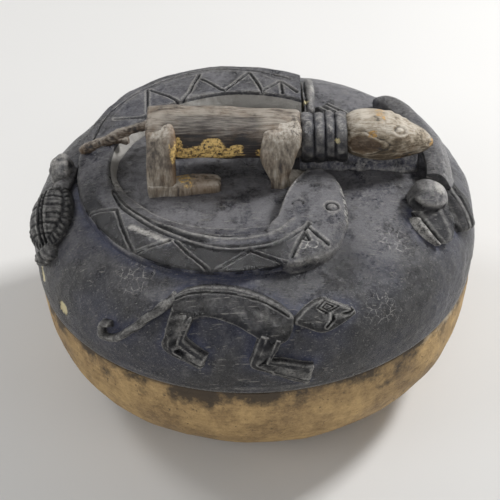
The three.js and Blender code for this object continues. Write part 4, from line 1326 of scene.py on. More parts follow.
    def head(self) -> Skin:
        """The head: rows widen from a point in its middle to its outline, then go down and close below.

        Its height is that of the dome grown by the relief, rounded off along the outline, and passes into
        the height of the body where it lies on the body.
        """
        outline = smooth_line(self.head_outline, 200, closed=True)
        middle = np.array([46.0, -78.0])
        spread = np.linalg.norm(outline - middle, axis=1)[None, :]
        top_rows, wall_rows = 76, 8
        share = np.concatenate([np.linspace(0, 1, top_rows), np.ones(wall_rows), [0.5, 0.0]])[:, None]
        fall = np.concatenate([np.zeros(top_rows), np.linspace(0.12, 1, wall_rows), [1, 1]])[:, None]
        plan = middle + (outline[None] - middle) * share[..., None]
        inside = spread * (1 - share)
        x, y = plan[..., 0], plan[..., 1]
        on_body = step_up(-y, 88, 96) * step_up(34 - x, 0, 16)
        drop = rounded_edge(inside, 4 + 5 * step_up(x, 40, 66)) * (1 - on_body)
        height = bump(np.hypot(x - 52, y + 62), 30, 2.2) * (1 - on_body)
        carved, dark, rubbed = self.carving(plan)
        left = distance_to(plan, smooth_line(self.head_edge, 30))
        height += bump(left, 1.3, 0.7)
        away = np.hypot((x - self.eye_boss[0]) * 0.92, y - self.eye_boss[1])
        height += bump(away, 2.6, 1.6) - bump(away - 4.3, 1.0, 1.5) + bump(away - 6.0, 1.0, 0.5)
        scar = np.hypot(x - self.eye_scar[0], y - self.eye_scar[1])
        arc = bump(scar - 4.2, 1.1, 1.0) * step_up(y - self.eye_scar[1], -3, 1)
        height -= 0.9 * arc
        own, under = DOME.over(x, y, self.head_relief), DOME.over(x, y, self.relief, self.tip) + 0.08
        top = own * (1 - on_body) + on_body * under - drop + (height + carved) * step_up(inside, 0.5, 2.5)
        z = top + (DOME.over(x, y) - SINK - top) * fall
        # Small teeth along the right edge
        teeth = step_up(y, -86, -82) * step_up(-y, 34, 38) * step_up(x, 62, 68)
        tooth = np.cos(2 * np.pi * y / 4.2)
        bite = teeth * 0.9 * tooth * step_up(share, 0.9, 0.97)
        skin = Skin(np.stack([x + bite, y, z], axis=-1))
        flat = fall == 0
        # The eye's socket is darker on its left: painted shade
        left_of_eye = 0.45 + 0.55 * step_up(self.eye_boss[0] + 3 - x, -2, 3)
        socket = np.clip(bump(away - 4.3, 1.0, 1.0) * left_of_eye + 0.7 * arc, 0, 1)
        paint = self.glossy(plan) * on_body * (1 - 0.8 * rubbed)
        skin.values["dark"] = np.maximum(np.maximum(dark, socket), paint) * flat
        rings = bump(away - 6.0, 0.8, 1.0) + bump(away, 2.6, 0.7)
        skin.values["edge"] = np.clip(rubbed + bump(left, 1.3, 0.9) + rings, 0, 1) * flat
        loops = bump(np.hypot(x - 45.1, y + 112) - 4.0, 0.9, 1.0)
        loops += bump(np.hypot(x - 37.2, y + 114.1) - 2.6, 0.8, 1.0)
        chips = teeth * step_up(share, 0.87, 0.93) * (0.8 + 0.9 * tooth)
        chips = chips * (unevenness(skin.points, 7, 1.0, 19) > -0.2)
        skin.values["scuff"] = np.maximum(loops, chips) * (fall < 0.1)
        skin.values["dusty"] = 0.6 * flat * (1 - on_body) * step_up(y, -112, -90)
        skin.values["calm"] = on_body
        surface = unevenness(skin.points, 22, 0.3, 9) * (1 - on_body) + scoops(skin.points, 9, 0.4, 18)
        return skin.raise_by(surface * (fall < 0.5))

    def tail_bar(self) -> Skin:
        """The bar across the end of the tail: round-cornered sections along Y, sunk into the dome."""
        y = np.linspace(self.tail_bar_span[0], self.tail_bar_span[1], 90)[:, None]
        across, up = section(48, 3.4)
        x = self.tail_bar_x + across * (self.tail_bar_width / 2) * (0.82 + 0.18 * np.cos(y / 17))
        groove = vee(np.abs(across + 0.45), 0.28, 1.6)
        tall = np.where(up > 0, self.tail_bar_relief * up - groove, SINK * up)
        ends = round_off(-y, -y[0] - 5, 5) * round_off(y, y[-1] - 8, 8)
        wide = y + 0 * x
        z = DOME.over(x, wide) + tall * np.where(up > 0, ends, 1)
        skin = Skin(np.stack([x, wide, z], axis=-1))
        skin.values["dark"] = np.clip(groove / 1.6, 0, 1) * (up > 0) + 0 * x
        # A pale line and a pale patch on the right flank: painted highlight
        skin.values["edge"] = bump(across - 0.55, 0.16, 0.8) * (up > 0) + 0 * x
        right = step_up(x, self.tail_bar_x, self.tail_bar_x + 4)
        skin.values["scuff"] = right * bump(y - 104, 8.5, 1.0)
        skin.values["bare"] = bump(np.hypot(x - 47, y - 80), 6, 0.7)
        return skin.raise_by(unevenness(skin.points, 14, 0.4, 31))

    def build(self) -> None:
        """Makes the serpent's pieces."""
        make_piece("serpent_back", [self.body()], Body.LID, ["serpent_band"], LID_PAINT, reach=2.2)
        make_piece("serpent_face", [self.head()], Body.LID, ["serpent_head"], LID_PAINT, reach=2.2)
        make_piece("serpent_tail_end", [self.tail_bar()], Body.LID, ["serpent_tail_bar"], LID_PAINT)


# Handle animal


@dataclass
class HandleAnimal:
    """The four-legged animal that is the lid's handle, lying along X with its head at +X.

    Attributes are in millimetres, apart from ring_ends, where the neck's rings meet as shares of its length,
    and the two climbs, how far up the trunk the legs reach as shares of its thickness. Heights are above the
    lid's crown.
    """

    trunk_start: float = -84.0
    trunk_length: float = 125.0
    trunk_depth: float = 47.0
    trunk_thickness: float = 38.0
    trunk_rise: float = 37.0
    trunk_drop: float = 8.0
    neck_length: float = 35.6
    neck_radius: float = 20.5
    neck_rise: float = 25.0
    ring_ends: tuple[float, ...] = (0.0, 0.29, 0.53, 0.74, 1.0)
    neck_groove: float = 2.6
    head_rise: float = 28.0
    head_nose_drop: float = 12.0
    head_length: float = 71.0
    head_radius: float = 20.5
    web_thickness: float = 18.0
    near_leg_climb: float = 0.42
    far_leg_climb: float = 0.05
    leg_sink: float = 22.0
    foot_height: float = 9.0
    tail_thickness: float = 10.0

    @property
    def trunk_end(self) -> float:
        """X of the shoulder."""
        return self.trunk_start + self.trunk_length

    @property
    def head_start(self) -> float:
        """X of the back of the head."""
        return self.trunk_end + self.neck_length

    def trunk(self) -> Skin:
        """The trunk: a round-cornered log that narrows at its ends and slopes down to the shoulder."""
        share = np.linspace(0, 1, 130)
        full = through([[0, 0.84], [0.03, 0.97], [0.3, 1], [0.7, 0.98], [0.96, 0.93], [1, 0.8]], share)
        x = self.trunk_start + share * self.trunk_length
        middle = DOME.crown + self.trunk_rise - share * self.trunk_drop
        skin = bar_along_x(x, middle, full * self.trunk_depth / 2, full * self.trunk_thickness / 2, 96, 2.5)
        points = skin.points
        x, level = points[..., 0], points[..., 2] - middle[:, None]
        # The bare patch on the near side: a broad one, and four that make its border uneven
        patch = bump((x + 34) / 32, 1, 1.12) * bump((level + 5) / 11, 1, 1.0)
        for place, long, height, size, most in (
            (-31, 1.2, 1, 11, 1.0), (-12, 1.5, 1, 6, 0.93), (9, 1.0, -4, 8, 0.97), (-59, 0.5, 1, 12, 0.95),
        ):
            patch = np.maximum(patch, bump(np.hypot((x - place) / long, level - height), size, most))
        skin.values["bare"] = patch * step_up(-points[..., 1], 4, 18) * 0.86
        handled = 0.74 * step_up(-points[..., 1], -1, 6) * step_up(x + unevenness(points, 9, 5, 44), -80, -52)
        handled *= 1 - step_up(x, 2, 14) * step_up(level, -4, 6)
        # Dark under the belly: paint kept there, and painted shade
        skin.values["dark"] = np.clip(0.9 * step_up(-level, 11.5, 14) + handled, 0, 0.95)
        fibres = unevenness(points * [0.25, 1, 1], 7, 0.25, 42)
        fibres += unevenness(points * [0.12, 1, 1], 3.2, 0.12, 43)
        return skin.raise_by(unevenness(points, 34, 0.7, 41) + fibres - 0.9)

    def neck(self) -> Skin:
        """The neck: uneven rings like a row of thick beads, with grooves between that fade out below."""
        share = np.linspace(0, 1, 150)
        ring = np.interp(share, self.ring_ends, np.arange(len(self.ring_ends)))
        bead = np.abs(np.sin(ring * np.pi)) ** 0.55
        x = self.trunk_end - 1 + share * (self.neck_length + 2)
        middle = np.full(150, DOME.crown + self.neck_rise)
        radius = np.full(150, self.neck_radius * 0.97)
        skin = bar_along_x(x, middle, radius, radius, 96, 2.2)
        level = skin.points[..., 2] - middle[:, None]
        groove = (1 - bead)[:, None] * (0.35 + 0.65 * step_up(level, -9, 3))
        # Painted shade on the lower half and in the grooves, and a painted highlight on the tops of the beads
        skin.values["dark"] = np.clip(0.7 * step_up(-level, 0, 9) + 0.6 * step_up(groove, 0.35, 0.8), 0, 0.9)
        skin.values["scuff"] = 0.62 * step_up(level, 9, 15) * bead[:, None]
        chip = np.linalg.norm(skin.points - [69, -17, DOME.crown + 33], axis=-1)
        skin.values["bare"] = bump(chip, 4.5, 0.75)
        return skin.raise_by(unevenness(skin.points, 10, 0.55, 51) - self.neck_groove * groove)

    def head_profile(self, share: Array) -> tuple[Array, Array]:
        """Middle height and fullness of the head at shares of its length."""
        egg = [
            [0, 0.66], [0.08, 0.84], [0.2, 0.96], [0.38, 1], [0.6, 0.86], [0.8, 0.58], [0.94, 0.32], [1, 0.14]
        ]
        full = through(egg, share)
        return DOME.crown + self.head_rise - self.head_nose_drop * share**1.6, full

    def head(self) -> Skin:
        """The head: an egg drawn out to a nose, with long ears cut in at its sides, eyes and a mouth."""
        share = np.concatenate([[0.0], 1 - np.cos(np.linspace(0.04, np.pi / 2, 150))])
        share = np.clip(0.25 * share + 0.75 * np.linspace(0, 1, 151), 0, 1)
        middle, full = self.head_profile(share)
        x = self.head_start + share * self.head_length
        skin = bar_along_x(x, middle, full * self.head_radius, full * self.head_radius, 110, 2.1)
        points = skin.points
        # Places on the head: x from the back of it, z above the crown
        back, crown = self.head_start, DOME.crown
        x, y, z = points[..., 0] - back, points[..., 1], points[..., 2] - crown
        swell = unevenness(points, 20, 0.4, 61)
        for side in (-1.0, 1.0):
            here = step_up(side * y, 3, 7)
            along = (x - 14.5) / 15.5
            ear = np.hypot(np.abs(along) ** 0.85, (z - 28.5) / 9.0 / (1 - 0.45 * np.clip(along, 0, 1)))
            rim = bump(ear - 1.06, 0.1, 1.0) * here
            ear = ear + unevenness(points, 6, 0.05, 63 + int(side))
            swell += 0.45 * rim - 0.8 * here * step_up(1 - ear, 0.02, 0.3)
            swell += 0.22 * here * np.cos(ear * 26) * (ear < 0.9) - 0.5 * here * bump(ear - 1.28, 0.07, 1.0)
            skin.mark("warm", here * 0.6 * step_up(1 - ear, 0.0, 0.15))
            skin.mark("dark", here * 0.62 * step_up(1 - ear, 0.0, 0.2))
            skin.mark("edge", 0.25 * rim)
            offset = points - np.array([back + 43.5, side * 11, crown + 36])
            eye = np.linalg.norm(offset / np.array([1.6, 1, 1]), axis=-1)
            swell += bump(eye, 1.9, 0.6) - bump(eye - 3.2, 0.9, 0.3) + bump(eye - 5.0, 1.6, 0.4)
            skin.mark("dark", bump(eye - 3.1, 0.8, 0.15))
            skin.mark("edge", bump(eye - 5.0, 0.9, 0.3) + bump(eye, 1.4, 0.3))
            brow = np.array([[33, side * 13, 37], [41, side * 9, 42], [55, side * 7, 35]]) + [back, 0, crown]
            swell += bump(distance_to(points, brow), 1.8, 0.7)
            mouth = np.array([[46, 15.5], [60, 14.5], [72, 14]]) + [back, crown]
            line = distance_to(points[..., [0, 2]], mouth)
            swell -= here * vee(line, 1.2, 1.1)
            skin.mark("dark", here * 0.7 * vee(line, 1.5, 1.0))
            swell -= here * bump(np.hypot(x - 67, z - 19), 1.2, 1.0)
        swell[[0, -1]] = 0
        # Bare on the brow and the jaw, and less so at the tip and in the ear
        high = bump(np.hypot((x - 30) / 2.4, z - 47), 7, 1.0)
        low = bump(np.hypot((x - 46) / 3.0, z - 11), 6, 1.0)
        tip = bump(np.hypot(x - 70, z - 18), 5, 1.0)
        lobe = bump(np.hypot((x - 21) / 1.8, z - 37), 4, 1.0)
        skin.values["bare"] = 0.56 * high + 0.62 * low + 0.52 * np.maximum(tip, lobe)
        skin.mark("dark", 0.35 * step_up(16 - x, 0, 14))
        return skin.raise_by(swell + unevenness(points * [0.2, 1, 1], 4.5, 0.15, 62))

    def web(self) -> Skin:
        """The strip of wood under the neck and the head: a round-cornered bar reaching down into the dome."""
        x = np.linspace(self.trunk_end - 2, self.head_start + self.head_length - 12, 110)
        share = np.clip((x - self.head_start) / self.head_length, 0, 1)
        middle, full = self.head_profile(share)
        under_head = middle - full * self.head_radius * 0.72
        under_neck = DOME.crown + self.neck_rise - self.neck_radius * 0.72
        top = np.where(x < self.head_start, under_neck, under_head)
        low = DOME.over(x, 0 * x) - SINK
        nose = np.sqrt(1 - np.clip((share - 0.62) / 0.225, 0, 0.97) ** 2)
        half = self.web_thickness / 2 * (1 - 0.3 * share) * nose
        skin = bar_along_x(x, (top + low) / 2, half, (top - low) / 2, 56, 2.8)
        # Grime, scuffs and blue paint, made paler as painted light that lifts the shade under the head
        skin.values.update(blue=0.5, dusty=0.9, scuff=0.62)
        flare = bump(skin.points[..., 2] - DOME.over(skin.points[..., 0], skin.points[..., 1]), 4, 3.0)
        skin.points[..., 1] += np.sign(skin.points[..., 1]) * flare
        return skin.raise_by(unevenness(skin.points, 15, 0.5, 71))

    def shank(self, start: float, levels: Line, side: int, exponent: float) -> Skin:
        """The upright part of a leg, smooth through level sections.

        Args:
            start: the x that the sections are measured from.
            levels: low x, high x, outer y, inner y and height over the crown of each section.
            side: 1 or -1, the side of the animal.
            exponent: how square the sections are.

        Returns:
            the skin.
        """
        low, high, outer, inner, height = smooth_line(levels, 90).T[..., None]
        across, up = section(40, exponent)
        x = start + (low + high) / 2 + (high - low) / 2 * across
        y = side * ((outer + inner) / 2 + (inner - outer) / 2 * up)
        return Skin(np.stack([x, y, DOME.crown + height + 0 * x], axis=-1))

    def foot(self, x: Array, spans: Array, side: int, exponent: float) -> Skin:
        """A foot lying along X in the dome.

        Args:
            x: where each section stands.
            spans: outer y, inner y and fullness of each section.
            side: 1 or -1, the side of the animal.
            exponent: how square the sections are.

        Returns:
            the skin.
        """
        outer, inner, full = side * spans[:, 0:1], side * spans[:, 1:2], spans[:, 2:3]
        low = DOME.over(x[:, None], outer) - SINK
        high = DOME.crown + self.foot_height * full
        across, up = section(36, exponent)
        y = (outer + inner) / 2 + (outer - inner) / 2 * across
        z = (low + high) / 2 + (high - low) / 2 * up
        return Skin(np.stack([x[:, None] + 0 * y, y, z], axis=-1))

    def hind_leg(self, side: int, climb: float) -> list[Skin]:
        """A hind leg: a flat slab from the hip to the heel, and a foot lying forwards from the heel."""
        back, thick = self.trunk_start, 22.0
        crown, top = DOME.crown, self.trunk_rise + self.trunk_thickness * climb
        levels = [
            [1, thick, 29, 12, -self.leg_sink], [-0.5, thick, 38, 20, -self.leg_sink * 0.2],
            [-0.5, thick + 0.5, 34.5, 18, top * 0.35], [0, thick + 1, 31, 13, top * 0.62],
            [0.5, thick + 1.5, 26.5, 9, top * 0.79], [1, thick + 1, 22, 6, top * 0.9],
            [2.5, thick - 0.5, 9.5, 2, top * 1.01],
        ]
        shank = self.shank(back, levels, side, 4.5)
        share = np.linspace(0, 1, 90)
        profile = [[0, 38, 24, 1.0], [0.6, 38, 19, 1.0], [0.9, 36.3, 19.4, 0.86], [1, 34, 21, 0.55]]
        foot = self.foot(back + 0.5 + share * 58, through(profile, share, 3), side, 4.0)
        y, z = foot.points[..., 1], foot.points[..., 2]
        toes = vee(np.abs(y - y.mean(axis=1, keepdims=True)), 1.2, 0.7) * step_up(share, 0.72, 0.8)[:, None]
        foot.points[..., 2] -= toes * (z > z.mean(axis=1, keepdims=True))
        foot.raise_by(unevenness(foot.points, 22, 0.5, 83 + side))
        x, z = foot.points[..., 0] - back, foot.points[..., 2] - crown
        foot.values["bare"] = 0.54 * bump(np.hypot((x - 32) / 2.2, z - self.foot_height), 7, 1.0)
        foot.values["warm"] = 0.5 * bump((x - 42) / 18, 1, 1.0)
        foot.values["dark"] = 0.45 * step_up(4 - z, 0, 6)
        shank.raise_by(unevenness(shank.points, 22, 0.5, 81 + side))
        x, z = shank.points[..., 0] - back - thick, shank.points[..., 2] - crown
        shank.values["dark"] = 0.4 * step_up(6 - z, 0, 8)
        shank.values["bare"] = 0.58 * bump(np.hypot(x, (z - 34) / 1.9), 9, 1.0)
        shank.values["warm"] = 0.7 * step_up(x, -7, 1)
        return [shank, foot]

    def fore_leg(self, side: int, climb: float) -> list[Skin]:
        """A fore leg: broad and flat at the shoulder, drawn in to a narrow ankle and a small foot."""
        shoulder = self.trunk_end
        top = self.trunk_rise - self.trunk_drop + self.trunk_thickness * climb
        levels = [
            [-26, -12, 33, 20, -self.leg_sink], [-26, -12, 34.5, 20, 0], [-34, -7, 32.5, 16, top * 0.5],
            [-33.5, -1.5, 28, 10, top * 0.77], [-33, -0.5, 25, 6, top * 0.88],
            [-32, -1, 20.5, 4, top * 0.955], [-29, -4, 10, 2, top * 1.045],
        ]
        shank = self.shank(shoulder, levels, side, 3.2)
        share = np.linspace(0, 1, 60)
        profile = [[0, 34, 21, 1.0], [0.6, 31, 17, 0.95], [1, 26, 15, 0.5]]
        foot = self.foot(shoulder - 26 + share * 28, through(profile, share, 3), side, 3.4)
        shank.raise_by(unevenness(shank.points, 20, 0.5, 91 + side))
        foot.raise_by(unevenness(foot.points, 20, 0.5, 93 + side))
        shank.values["dark"] = 0.4 * step_up(DOME.crown + 4 - shank.points[..., 2], 0, 8)
        return [shank, foot]

    def tail(self) -> list[Skin]:
        """The tail: a slim rope from the rump down to the serpent's back, with small holes and a toed knot.

        At each step a round section stands square to the path.
        """
        crown = DOME.crown
        rope = [
            [-80, 1, crown + 43], [-83.6, 2, crown + 41.6], [-95.1, 5, crown + 36], [-106.1, 8, crown + 29.5],
            [-116.6, 12, crown + 21.6], [-125.4, 16, crown + 15.2], [-134.3, 20, crown + 8.6],
            [-141, 24, crown + 2.8],
        ]
        knot = [[-101, 26.5], [-111, 28.6], [-121, 27.4]]
        lying = [[x, y, DOME.over(x, y, Serpent.relief, Serpent.tip) + 1.0] for x, y in knot]
        skins = []
        for path, thick, seed in ((rope, 0.74 * self.tail_thickness, 101), (lying, 6.0, 105)):
            line = smooth_line(path, 110)
            along = np.gradient(line, axis=0)
            along /= np.linalg.norm(along, axis=1, keepdims=True)
            side = np.cross(along, [0.0, 0.0, 1.0])
            side /= np.linalg.norm(side, axis=1, keepdims=True)
            out = np.cross(side, along)
            share = np.linspace(0, 1, 110)
            radius = thick / 2 * (0.92 + 0.09 * np.sin(share * 17) + 0.16 * share)
            radius *= round_off(share, 0.93, 0.075)
            across, up = section(40, 2.3)
            ring = side[:, None] * across[None, :, None] + out[:, None] * up[None, :, None]
            points = line[:, None] + radius[:, None, None] * ring
            skin = Skin(points)
            pits = np.zeros(points.shape[:2])
            for hole in ((-98, 2.0, crown + 37), (-113, 6.5, crown + 26.5), (-124, 12, crown + 18.5)):
                pits += bump(np.linalg.norm(points - np.array(hole), axis=-1), 1.4, 1.5)
            skin.raise_by(unevenness(points, 9, 0.45, seed) + unevenness(points, 3.5, 0.15, seed + 1) - pits)
            skin.values["dark"] = np.clip(pits, 0, 0.9)
            skins.append(skin)
        return skins

    def build(self) -> None:
        """Makes the animal's pieces."""
        make_piece("handle_body", [self.trunk()], Body.LID, ["handle_trunk"], HANDLE_WOOD)
        make_piece("handle_ringed_neck", [self.neck()], Body.LID, ["handle_neck"], NECK_PAINT, reach=2.0)
        make_piece("handle_face", [self.head()], Body.LID, ["handle_head"], HEAD_WOOD, reach=2.0)
        make_piece("handle_under_neck", [self.web()], Body.LID, ["handle_neck_web"], LID_PAINT)
        make_piece("handle_rope_tail", self.tail(), Body.LID, ["handle_tail"], HANDLE_WOOD)
        for side, climb, where in ((-1, self.near_leg_climb, "near"), (1, self.far_leg_climb, "far")):
            hind, fore = f"hind_leg_{where}", f"fore_leg_{where}"
            make_piece(hind, self.hind_leg(side, climb), Body.LID, [f"handle_{hind}"], LEG_WOOD)
            make_piece(fore, self.fore_leg(side, climb), Body.LID, [f"handle_{fore}"], LEG_WOOD)


# Front beast


@dataclass
class FrontBeast:
    """The long-tailed beast in low relief on the front.

    Attributes are outlines and cuts as [azimuth, tilt] pairs, and the relief and the tail's width in
    millimetres.
    """

    relief: float = 7.0
    back: Line = line_of(
        [-113.8, 17.6], [-112.3, 20], [-109.4, 21.4], [-103.7, 22.4], [-96.3, 22.4], [-90.4, 21.3],
        [-85.1, 19.3], [-82, 17.4], [-80.4, 15.6],
    )
    belly: Line = line_of(
        [-112.6, 16.6], [-110, 14.9], [-107.6, 14.8], [-103.5, 16], [-97.5, 15.2], [-92, 13], [-87.5, 10.3],
        [-83.6, 10.6], [-81.2, 13.8],
    )
    brow: Line = line_of([-80.9, 15.1], [-76.5, 17.4], [-72.1, 18.3], [-67.7, 16.3], [-64.6, 14.4])
    jaw: Line = line_of([-80.9, 14.4], [-78.2, 13.1], [-74.2, 11.3], [-68.3, 12.5], [-64.7, 13.8])
    hind_outer: Line = line_of([-112.9, 17.4], [-113, 12.2], [-113.3, 7.6], [-108.8, 5.4], [-103.5, 3.2])
    hind_inner: Line = line_of([-106.3, 16], [-107.2, 12.6], [-107.8, 10.8], [-105.8, 9.4], [-102, 7.4])
    fore_outer: Line = line_of([-89.6, 13.4], [-91.3, 8.6], [-92.2, 5.4], [-87.5, 2.8], [-78.3, -2.2])
    fore_inner: Line = line_of([-83.8, 11.6], [-85.9, 8.2], [-86.8, 6.6], [-84, 6], [-76.9, 3.6])
    tail_line: Line = line_of(
        [-112.6, 18.6], [-117.6, 14], [-122.1, 9.4], [-127, 5], [-130.4, 4.4], [-130.6, 7.4], [-128, 8.4],
    )
    tail_width: float = 6.8
    hind_slit: Line = line_of([-107.4, 16.6], [-110.2, 9.4], [-109.4, 7.7], [-101.5, 5.0])
    fore_slit: Line = line_of([-86.2, 12.0], [-89.0, 5.6], [-85.4, 4.2], [-77.6, 0.9])
    eye_ring: Line = line_of([-74.3, 17.0], [-71.7, 18.0], [-68.6, 16.3], [-72.5, 15.7], [-74.3, 17.0])
    mouth: Line = line_of([-73.1, 12.8], [-70.4, 14.5], [-66.8, 14.5], [-65.2, 14.9])

    def cut(self, skin: Skin, foot: Array, line: Line | Array, width: float, depth: float) -> None:
        """Cuts a line of straight stretches on the dome into a skin whose points have these feet."""
        away = distance_to(foot, lift(line))
        groove = vee(away, width, depth)
        lip = bump(away - width * 1.5, width * 0.5, 0.3)
        skin.raise_by(lip - groove)
        skin.mark("dark", 0.9 * np.clip(groove / depth * 1.3, 0, 1))
        skin.mark("edge", 2.0 * lip)

    def body(self) -> Skin:
        """The body: a long arch with one cut below its back."""
        skin, foot = low_relief(self.back, self.belly, self.relief, rows=190, soft=4.2, round_ends=(3, 3))
        below_back = np.asarray(self.back[1:-1]) - [0, 1.15]
        self.cut(skin, foot, smooth_line(below_back, 40), 0.9, 0.7)
        return skin.raise_by(unevenness(skin.points, 14, 0.3, 201) + scoops(skin.points, 7, 0.35, 202))

    def head(self) -> Skin:
        """The head: a leaf with a pointed eye, one outline inside the other, and a mouth cut in."""
        skin, foot = low_relief(
            self.brow, self.jaw, self.relief, rows=150, columns=60, soft=4.0, round_ends=(2, 2)
        )
        self.cut(skin, foot, self.eye_ring, 0.7, 0.8)
        pupil = np.array([-71.7, 16.8])
        self.cut(skin, foot, (np.asarray(self.eye_ring) - pupil) * 0.5 + pupil, 0.55, 0.6)
        self.cut(skin, foot, self.mouth, 1.1, 1.8)
        skin.values["scuff"] = 0.7 * bump(distance_to(foot, lift([[-70.5, 17.9], [-66, 15.6]])), 3.0, 1.0)
        return skin

    def tail(self) -> Skin:
        """The tail: a slim ridge that curls up at its end."""
        share = np.linspace(0, 1, 150)
        width = self.tail_width * through([[0, 1.5], [0.12, 1.1], [0.5, 0.9], [0.85, 0.85], [1, 0.7]], share)
        high = self.relief * through([[0, 1.0], [0.5, 0.85], [0.9, 0.95], [1, 0.5]], share)
        skin, shares = ridge_along(self.tail_line, width, high, rows=150, soft=2.6)
        skin.values["scuff"] = 0.55 * np.clip((shares[..., 0] - 0.9) / 0.06, 0, 1)
        skin.values["edge"] = bump(shares[..., 1] + 0.35, 0.14, 0.7)
        return skin.raise_by(unevenness(skin.points, 9, 0.35, 203))

    def legs(self, outer: Line, inner: Line, slit: Line) -> Skin:
        """A pair of legs: one form with a slit down it, and a line that sets off the toes."""
        skin, foot = low_relief(outer, inner, self.relief, rows=150, soft=4.5, round_ends=(2, 2.5))
        self.cut(skin, foot, slit, 1.5, 3.2)
        self.cut(skin, foot, np.asarray(outer[-2:]) * 0.72 + np.asarray(inner[-2:]) * 0.28, 0.8, 0.8)
        return skin.raise_by(unevenness(skin.points, 10, 0.3, 205))

    def build(self) -> None:
        """Makes the beast's pieces."""
        for name, skin, reach in (
            ("body", self.body(), 2.0),
            ("head", self.head(), 1.8),
            ("tail", self.tail(), 2.0),
            ("hind_legs", self.legs(self.hind_outer, self.hind_inner, self.hind_slit), 1.8),
            ("fore_legs", self.legs(self.fore_outer, self.fore_inner, self.fore_slit), 1.8),
        ):
            make_piece(f"front_beast_{name}", [skin], Body.LID, [f"beast_{name}"], BEAST_PAINT, reach)


# Tortoise


@dataclass
class Tortoise:
    """The tortoise that climbs the left side towards the serpent.

    Attributes are in millimetres, and places are [azimuth, tilt].
    """

    place: tuple[float, float] = (-168.4, 15.8)
    length: float = 68.0
    width: float = 42.0
    height: float = 14.0
    climb: float = 17.0
    head_place: tuple[float, float] = (175.0, 21.3)
    head_half: tuple[float, float, float] = (17.0, 9.8, 11.2)
    head_lift: float = 11.0
    foot_line: Line = line_of([-156.9, 14.2], [-158.8, 11], [-160.9, 7.9])
    foot_width: float = 16.0
    foot_relief: float = 8.0

    def shell(self) -> Skin:
        """The shell: a low globe with a rim, cut by one long double groove and a row of cross grooves."""
        local = globe(110, 120) * np.array([self.length / 2, self.width / 2, self.height])
        x, y, z = local[..., 0], local[..., 1], local[..., 2]
        top = step_up(z, 0.5, 3)
        reach = np.sqrt((x / self.length * 2) ** 2 + (y / self.width * 2) ** 2)
        swell = -0.9 * bump((reach - 0.86) * 20, 1.2, 1.0)
        for offset in (-3.4, 0.6):
            swell -= vee(np.abs(y - offset - 0.03 * x), 1.5, 2.0)
        for cross in np.arange(-24, 25, 9.5):
            swell -= vee(np.abs(x - cross - 0.25 * y), 1.2, 1.2) * (reach < 0.84)
        swell += 0.5 * bump(np.abs(y + 1.4) - 3.9, 1.0, 1.0) * (reach < 0.9)
        dots = np.cos(np.arctan2(y / self.width, x / self.length) * 34) * bump((reach - 0.93) * 20, 0.9, 0.6)
        skin = Skin(placed(local, DOME.stand(*self.place, turn=-self.climb)))
        skin.values["dark"] = np.clip(-0.5 * swell + 0.35, 0, 0.95) * top
        skin.values["edge"] = bump(np.abs(y + 1.4) - 3.9, 0.8, 0.5) * (reach < 0.9)
        skin.raise_by((swell + dots + unevenness(local, 9, 0.25, 301)) * top)
        return skin

    def head(self) -> Skin:
        """The head: an egg that lies level, with a shallow eye and a mouth on the side that shows."""
        local = globe(80, 84) * np.array(self.head_half)
        skin = Skin(placed(local, DOME.stand(*self.head_place, height=self.head_lift)))
        swell = unevenness(local, 11, 0.5, 311)
        eye = np.linalg.norm(local - np.array([5.5, -7.5, 6.5]), axis=-1)
        swell += bump(eye, 2.2, 0.8) - bump(eye - 3.8, 0.9, 0.8)
        mouth = distance_to(local, np.array([[-15.0, -4, -1], [-8.0, -8.5, -2], [2.0, -9.6, -3]]))
        # A pale patch on the top: scuffed, and partly a painted highlight
        skin.values["scuff"] = bump(np.linalg.norm(local - np.array([2.0, -3.0, 10.0]), axis=-1), 8, 0.55)
        return skin.raise_by(swell - vee(mouth, 1.3, 1.2) + scoops(local, 6, 0.4, 312))

    def foot(self) -> Skin:
        """The fore foot: a short broad ridge with two cuts between its toes."""
        share = np.linspace(0, 1, 70)
        high = self.foot_relief * round_off(share, 0.8, 0.22)
        skin, shares = ridge_along(self.foot_line, self.foot_width * (1 - 0.3 * share**2), high, rows=70)
        toes = sum(vee(np.abs(shares[..., 1] - place) * 8, 1.3, 1.2) for place in (-0.4, 0.3))
        return skin.raise_by(unevenness(skin.points, 8, 0.3, 321) - toes * step_up(shares[..., 0], 0.6, 0.75))

    def build(self) -> None:
        """Makes the tortoise's pieces."""
        neck, _ = ridge_along([[-176.5, 19.5], [-181.5, 20.5], [-186, 21]], 13, 11, rows=50)
        make_piece("tortoise_carapace", [self.shell()], Body.LID, ["tortoise_shell"], BEAST_PAINT, reach=2.0)
        make_piece("tortoise_knob_head", [self.head(), neck], Body.LID, ["tortoise_head"], LID_PAINT)
        make_piece("tortoise_forefoot", [self.foot()], Body.LID, ["tortoise_foot"], BEAST_PAINT, reach=2.0)


# Bird


